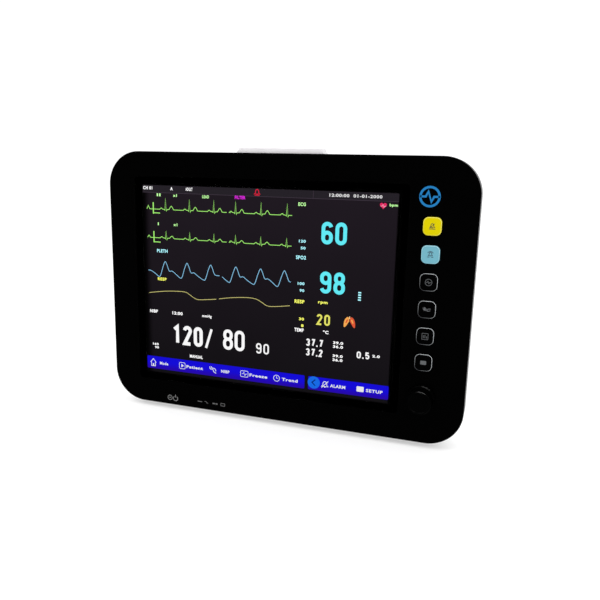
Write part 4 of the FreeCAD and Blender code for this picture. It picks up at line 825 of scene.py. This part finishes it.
def draw_key_signs():
    """Signs on the six keys, and a line along each key's shoulder with a painted highlight on it."""
    dark = moulded("dark_print", srgb(44, 42, 24), 0.5, depth=0.000004)
    dark_blue = moulded("dark_blue_print", srgb(20, 46, 60), 0.5, depth=0.000004)
    grey = moulded("grey_print", srgb(82, 84, 86), 0.5, depth=0.000004, specular=0.1)
    # Grey line on the black keys: a painted highlight, lit at the upper right and shaded at the lower left.
    painted_highlight_grey = painted_highlight_rim_material("key_painted_highlight_rim", srgb(66, 68, 70), srgb(186, 190, 192))
    for name in ("freeze_key", "nibp_key", "trend_key", "menu_key"):
        rim(name + "_painted_highlight_rim", name, painted_highlight_grey)
    # Lighter lines on the yellow and blue keys: painted highlights in the key's own hue, also lit at the
    # upper right.
    for name, colour, shaded_tone, bright in (("alarm_silence", "yellow", srgb(196, 186, 60), srgb(226, 220, 130)),
                                       ("alarm_pause", "blue", srgb(128, 180, 192), srgb(180, 214, 222))):
        rim(name + "_painted_highlight_rim", name + "_key", painted_highlight_rim_material(colour + "_painted_highlight_rim", shaded_tone, bright))

    ink = print_ink("alarm_silence_sign", "alarm_silence_key", dark, "alarm_silence_key")
    bell(ink, 0.0, 0.4, 4.0, 0.55)
    ink.stroke([(-2.6, -2.1), (2.6, -2.1)], 0.6)
    ink.stroke([(-2.0, -1.4), (2.0, 2.4)], 0.4)
    ink.done()
    ink = print_ink("alarm_pause_sign", "alarm_pause_key", dark_blue, "alarm_pause_key")
    bell(ink, 0.0, 0.3, 3.6, 0.55)
    ink.stroke(arc(0, 0.0, 2.7, 2.7, 150, 30), 0.5)
    ink.stroke([(-2.5, -2.0), (-0.7, -2.0)], 0.6)
    ink.stroke([(0.7, -2.0), (2.5, -2.0)], 0.6)
    ink.done()
    ink = print_ink("freeze_sign", "freeze_key", grey, "freeze_key")
    ink.ring(0, 0, 2.8, 0.4)
    ink.stroke([(-2.2, 0), (-1.1, 0), (-0.5, 1.1), (0.3, -1.1), (0.9, 0), (2.2, 0)], 0.4)
    ink.done()
    ink = print_ink("nibp_sign", "nibp_key", grey, "nibp_key")
    ink.stroke(smooth_path([(-3.2, 1.4), (-2.4, -0.4), (0.2, -0.6), (1.0, 0.6), (3.2, 0.8)]), 0.5)
    ink.stroke(smooth_path([(-2.6, 1.8), (-1.0, 1.2), (0.6, -1.2), (3.0, -0.6)]), 0.5)
    ink.disc(-1.6, 0.5, 0.9)
    ink.done()
    ink = print_ink("trend_sign", "trend_key", grey, "trend_key")
    ink.stroke(rounded_outline(2.6, 2.7, 0.3), 0.35, closed=True)
    ink.stroke([(-1.4, -1.6), (-1.4, 1.0)], 0.45)
    ink.stroke([(0, -1.6), (0, 1.6)], 0.45)
    ink.stroke([(1.4, -1.6), (1.4, 0.2)], 0.45)
    ink.done()
    ink = print_ink("menu_sign", "menu_key", grey, "menu_key")
    ink.block(-2.5, 2.5, -1.7, 1.7, 0.6)
    ink.done()


def draw_panel_signs():
    """Power signs, indicator signs and the plain round mark."""
    pale = moulded("pale_print", srgb(128, 128, 128), 0.5, depth=0.000004, specular=0.1)
    faint = moulded("faint_print", srgb(90, 90, 90), 0.5, depth=0.000004, specular=0.1)
    ink = print_ink("power_sign", "power_key", pale, "power_key")
    ink.ring(-2.2, -0.5, 2.4, 0.45)
    ink.stroke([(-3.4, -0.5), (-1.0, -0.5)], 0.45)
    ink.stroke(arc(4.0, -0.9, 2.4, 2.4, 125, 415, 20), 0.5)
    ink.stroke([(4.0, 0.2), (4.0, 3.2)], 0.55)
    ink.done()
    ink = print_ink("indicator_signs", "indicator_window", faint, "housing")
    ink.stroke([(-14.4, 0.1), (-9.6, -0.1)], 0.7)
    ink.stroke(smooth_path([(-6.8, 0.7), (-5.2, 0.6), (-4.4, -0.5), (-3.2, -0.6)]), 0.5)
    ink.block(1.8, 4.3, -0.7, 0.6, 0.3)
    ink.block(4.9, 7.2, -0.7, 0.6, 0.3)
    ink.stroke([(px + 12.8, py) for px, py in rounded_outline(2.1, 1.3, 0.4)], 0.5, closed=True)
    ink.done()

    blue = moulded("mark_blue", srgb(22, 104, 160), 0.4, depth=0.000004, specular=0.1)
    panel_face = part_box("front_bezel")[0].y
    centre = Vector((face_of("alarm_silence_key").x - 3.6 * MM, panel_face, screen_middle.z + 90.6 * MM))
    ink = Ink("round_mark", centre, blue, PRINT_LIFT)
    ink.ring(0, 0, 7.8, 1.9)
    ink.stroke([(-8.2, 0), (-3.4, 0), (-1.4, 4.2), (1.4, -4.2), (3.4, 0), (8.2, 0)], 1.7)
    ink.done()


def draw_socket_signs():
    """Names and pictures beside the patient sockets."""
    white = moulded("socket_print", srgb(214, 216, 216), 0.5, depth=0.000004)
    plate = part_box("connector_panel")[0].x
    centre_y = (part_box("ecg_socket")[0].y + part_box("ecg_socket")[1].y) / 2

    def row(node, shift=0.0):
        """A drawing level with a node's middle, or shifted up or down from it to one of two sockets."""
        low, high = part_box(node)
        place = Vector((plate, centre_y, (low.z + high.z) / 2 + shift * MM))
        return Ink(f"sign_{node}_{'low' if shift < 0 else 'high'}", place, white, PRINT_LIFT, side="left")

    ink = row("ecg_socket")
    ink.text("ECG", -26.5, -15, -1.9, 1.9)
    ink.fill(heart_shape(22, 0, 7.5))
    for x in (15.6, 28.4):
        ink.stroke([(x, -2.6), (x, 2.6)], 0.8)
    ink.done()
    ink = row("spo2_socket")
    ink.text("SpO2", -27, -13.5, -2.3, 1.9)
    ink.stroke(arc(20.5, 0, 2.6, 2.6, 90, 270, 12) + [(28, -2.6), (28, 2.6)], 0.7, closed=True)
    ink.stroke([(24.4, 1.3), (27.2, 1.3)], 0.5)
    ink.stroke([(24.4, -1.3), (27.2, -1.3)], 0.5)
    ink.done()
    for number, shift in (("1", 9.0), ("2", -9.0)):
        ink = row("temp_sockets", shift)
        ink.text("T" + number, -19.5, -13.5, -1.9, 1.9)
        ink.disc(22, -2.2, 1.7)
        ink.stroke([(22, -1.6), (22, 3.6)], 1.1)
        for y in (0.6, 2.0, 3.4):
            ink.stroke([(23.2, y), (24.8, y)], 0.4)
        ink.done()
    ink = row("nibp_port")
    ink.text("NIBP", -26.5, -13.5, -1.9, 1.9)
    ink.stroke([(x + 22, y) for x, y in rounded_outline(5.2, 3.2, 1.2)], 0.7, closed=True)
    ink.stroke(smooth_path([(22, -3.2), (22.4, -5.2), (25.6, -5.6), (26.2, -7.0)]), 0.7)
    ink.stroke([(22, -3.2), (22, 3.2)], 0.5)
    ink.done()


def draw_rear_signs():
    """Plain symbols by the rear connectors and on the battery door."""
    dark = moulded("rear_print", srgb(58, 60, 62), 0.5, depth=0.000004)
    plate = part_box("input_plate")[1].y

    def sign(name, node, drop):
        """A drawing on the input plate, below a connector's middle, or above it if the drop is negative."""
        low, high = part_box(node)
        place = Vector(((low.x + high.x) / 2, plate, (low.z + high.z) / 2 - drop * MM))
        return Ink(name, place, dark, PRINT_LIFT, side="rear")

    ink = sign("network_sign", "network_jack", -12.5)
    ink.block(-1.3, 1.3, 0.8, 2.8)
    for x in (-3.2, 3.2):
        ink.block(x - 1.3, x + 1.3, -2.8, -0.8)
    ink.stroke([(-3.2, -0.8), (-3.2, 0), (3.2, 0), (3.2, -0.8)], 0.4)
    ink.stroke([(0, 0.8), (0, 0)], 0.4)
    ink.done()
    ink = sign("earthing_sign", "ground_stud", 9.5)
    ink.stroke([(0, -2.6), (0, 2.6)], 0.5)
    ink.stroke([(-2.2, 0.9), (2.2, 0.9)], 0.5)
    ink.stroke([(-2.2, -0.9), (2.2, -0.9)], 0.5)
    ink.done()
    low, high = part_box("battery_door")
    place = Vector(((low.x + high.x) / 2, high.y, (low.z + high.z) / 2))
    ink = Ink("battery_sign", place, dark, PRINT_LIFT, "battery_door", "rear")
    ink.stroke(rounded_outline(6.0, 3.4, 0.8), 0.6, closed=True)
    ink.block(6.3, 7.4, -1.3, 1.3)
    for x in (-3.6, 0.0, 3.6):
        ink.block(x - 1.2, x + 1.2, -2.1, 2.1)
    ink.done()


# ---------------------------------------------------------------- studio
STRIP_DISTANCE, STRIP_WIDTH = 0.8, 0.22
ROOM, BACK = 3.2, 1.44              # the floor's half size, and how far back it starts to turn up
BEND, BEND_STEPS = 0.9, 14          # the turn's radius, and its pieces
AIM = Vector((0, 0, 0.12))          # where the three soft lights point
# The eye, in millimetres: right of the cover glass's middle, in front of the panel, and above that middle.
EYE_RIGHT, EYE_FRONT, EYE_UP = 208.2, 521.4, 108.3
# Where it looks, which way its head points, and its lens in millimetres.
LOOK, HEAD, LENS = (-0.30424, 0.93068, -0.20318), (-0.08634, 0.18547, 0.97885), 37.18


def area_lamp(name, place, target, size, power):
    """A flat lamp turned to a point."""
    lamp = bpy.data.lights.new(name, "AREA")
    lamp.size = size
    lamp.energy = power
    light = bpy.data.objects.new(name, lamp)
    light.location = place
    light.rotation_mode = "QUATERNION"
    light.rotation_quaternion = (target - Vector(place)).to_track_quat("-Z", "Y")
    bpy.context.scene.collection.objects.link(light)
    return light


def knob_strips():
    """Two strip lamps that only the knob mirrors: one in its face's bevel and one in its skirt's."""
    receivers = bpy.data.collections.new("knob_receivers")
    receivers.objects.link(nodes_of_frame["knob"])
    low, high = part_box("knob")
    target = (low + high) / 2
    for name, toward, length, power in (("bevel_strip", (0.05, -0.215, 0.976), 0.95, 99.0),
                                        ("skirt_strip", (0.2, -0.8, 0.565), 0.5, 27.0)):
        place = target + Vector(toward).normalized() * STRIP_DISTANCE
        light = area_lamp(name, place, target, length, power)
        light.data.shape = "RECTANGLE"
        light.data.size_y = STRIP_WIDTH
        light.light_linking.receiver_collection = receivers
        light.visible_camera = False
        light.visible_diffuse = False
        light.visible_transmission = False


def pale_floor():
    """Seamless paper that turns up behind, bright enough of itself to keep the shadow soft."""
    turns = [math.pi / 2 * (i + 1) / BEND_STEPS for i in range(BEND_STEPS)]
    profile = [(-ROOM, 0.0), (BACK, 0.0)]
    profile += [(BACK + BEND * math.sin(a), BEND * (1 - math.cos(a))) for a in turns]
    profile.append((BACK + BEND, ROOM))
    vertices = [(x, y, z) for y, z in profile for x in (-ROOM, ROOM)]
    faces = [(2 * i, 2 * i + 1, 2 * i + 3, 2 * i + 2) for i in range(len(profile) - 1)]
    mesh = bpy.data.meshes.new("floor")
    mesh.from_pydata(vertices, [], faces)
    mesh.polygons.foreach_set("use_smooth", [True] * len(faces))
    paper = moulded("pale_floor", (0.5, 0.5, 0.5, 1), 0.85, grain=0.02, depth=0.0001, drift=0.004,
                    specular=0.1)
    shader = paper.node_tree.nodes["Principled BSDF"]
    shader.inputs["Emission Color"].default_value = (1, 1, 1, 1)
    shader.inputs["Emission Strength"].default_value = 0.5
    mesh.materials.append(paper)
    floor = bpy.data.objects.new("floor", mesh)
    bpy.context.scene.collection.objects.link(floor)


def studio():
    """Pale floor, three soft lights, the knob's strips and an even white surround."""
    pale_floor()
    area_lamp("key_light", (-0.9, -1.3, 1.7), AIM, 1.3, 24.0)
    area_lamp("fill_light", (1.6, -0.7, 1.2), AIM, 1.1, 9.0)
    area_lamp("back_light", (0.5, 1.1, 1.5), AIM, 1.2, 14.0)
    knob_strips()

    world = bpy.data.worlds.new("surround")
    world.use_nodes = True
    background = world.node_tree.nodes["Background"]
    background.inputs["Color"].default_value = (1.0, 1.0, 1.0, 1)
    background.inputs["Strength"].default_value = 1.0
    bpy.context.scene.world = world
    bpy.context.scene.view_settings.view_transform = "Standard"


def camera():
    """A view from the upper right of the panel, turned left and a little down."""
    low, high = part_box("screen_glass")
    eye = Vector(((low.x + high.x) / 2 + EYE_RIGHT * MM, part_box("front_bezel")[0].y - EYE_FRONT * MM,
                  (low.z + high.z) / 2 + EYE_UP * MM))
    forward = Vector(LOOK).normalized()
    right = forward.cross(Vector(HEAD)).normalized()
    up = right.cross(forward)
    data = bpy.data.cameras.new("view")
    data.sensor_width = 36.0
    data.lens = LENS
    data.clip_start = 0.01
    holder = bpy.data.objects.new("view", data)
    turn = Matrix((right, up, -forward)).transposed().to_4x4()
    holder.matrix_world = Matrix.Translation(eye) @ turn
    bpy.context.scene.collection.objects.link(holder)
    bpy.context.scene.camera = holder


dress_frame()
screen_border()
draw_display()
draw_key_signs()
draw_panel_signs()
draw_socket_signs()
draw_rear_signs()
studio()
camera()
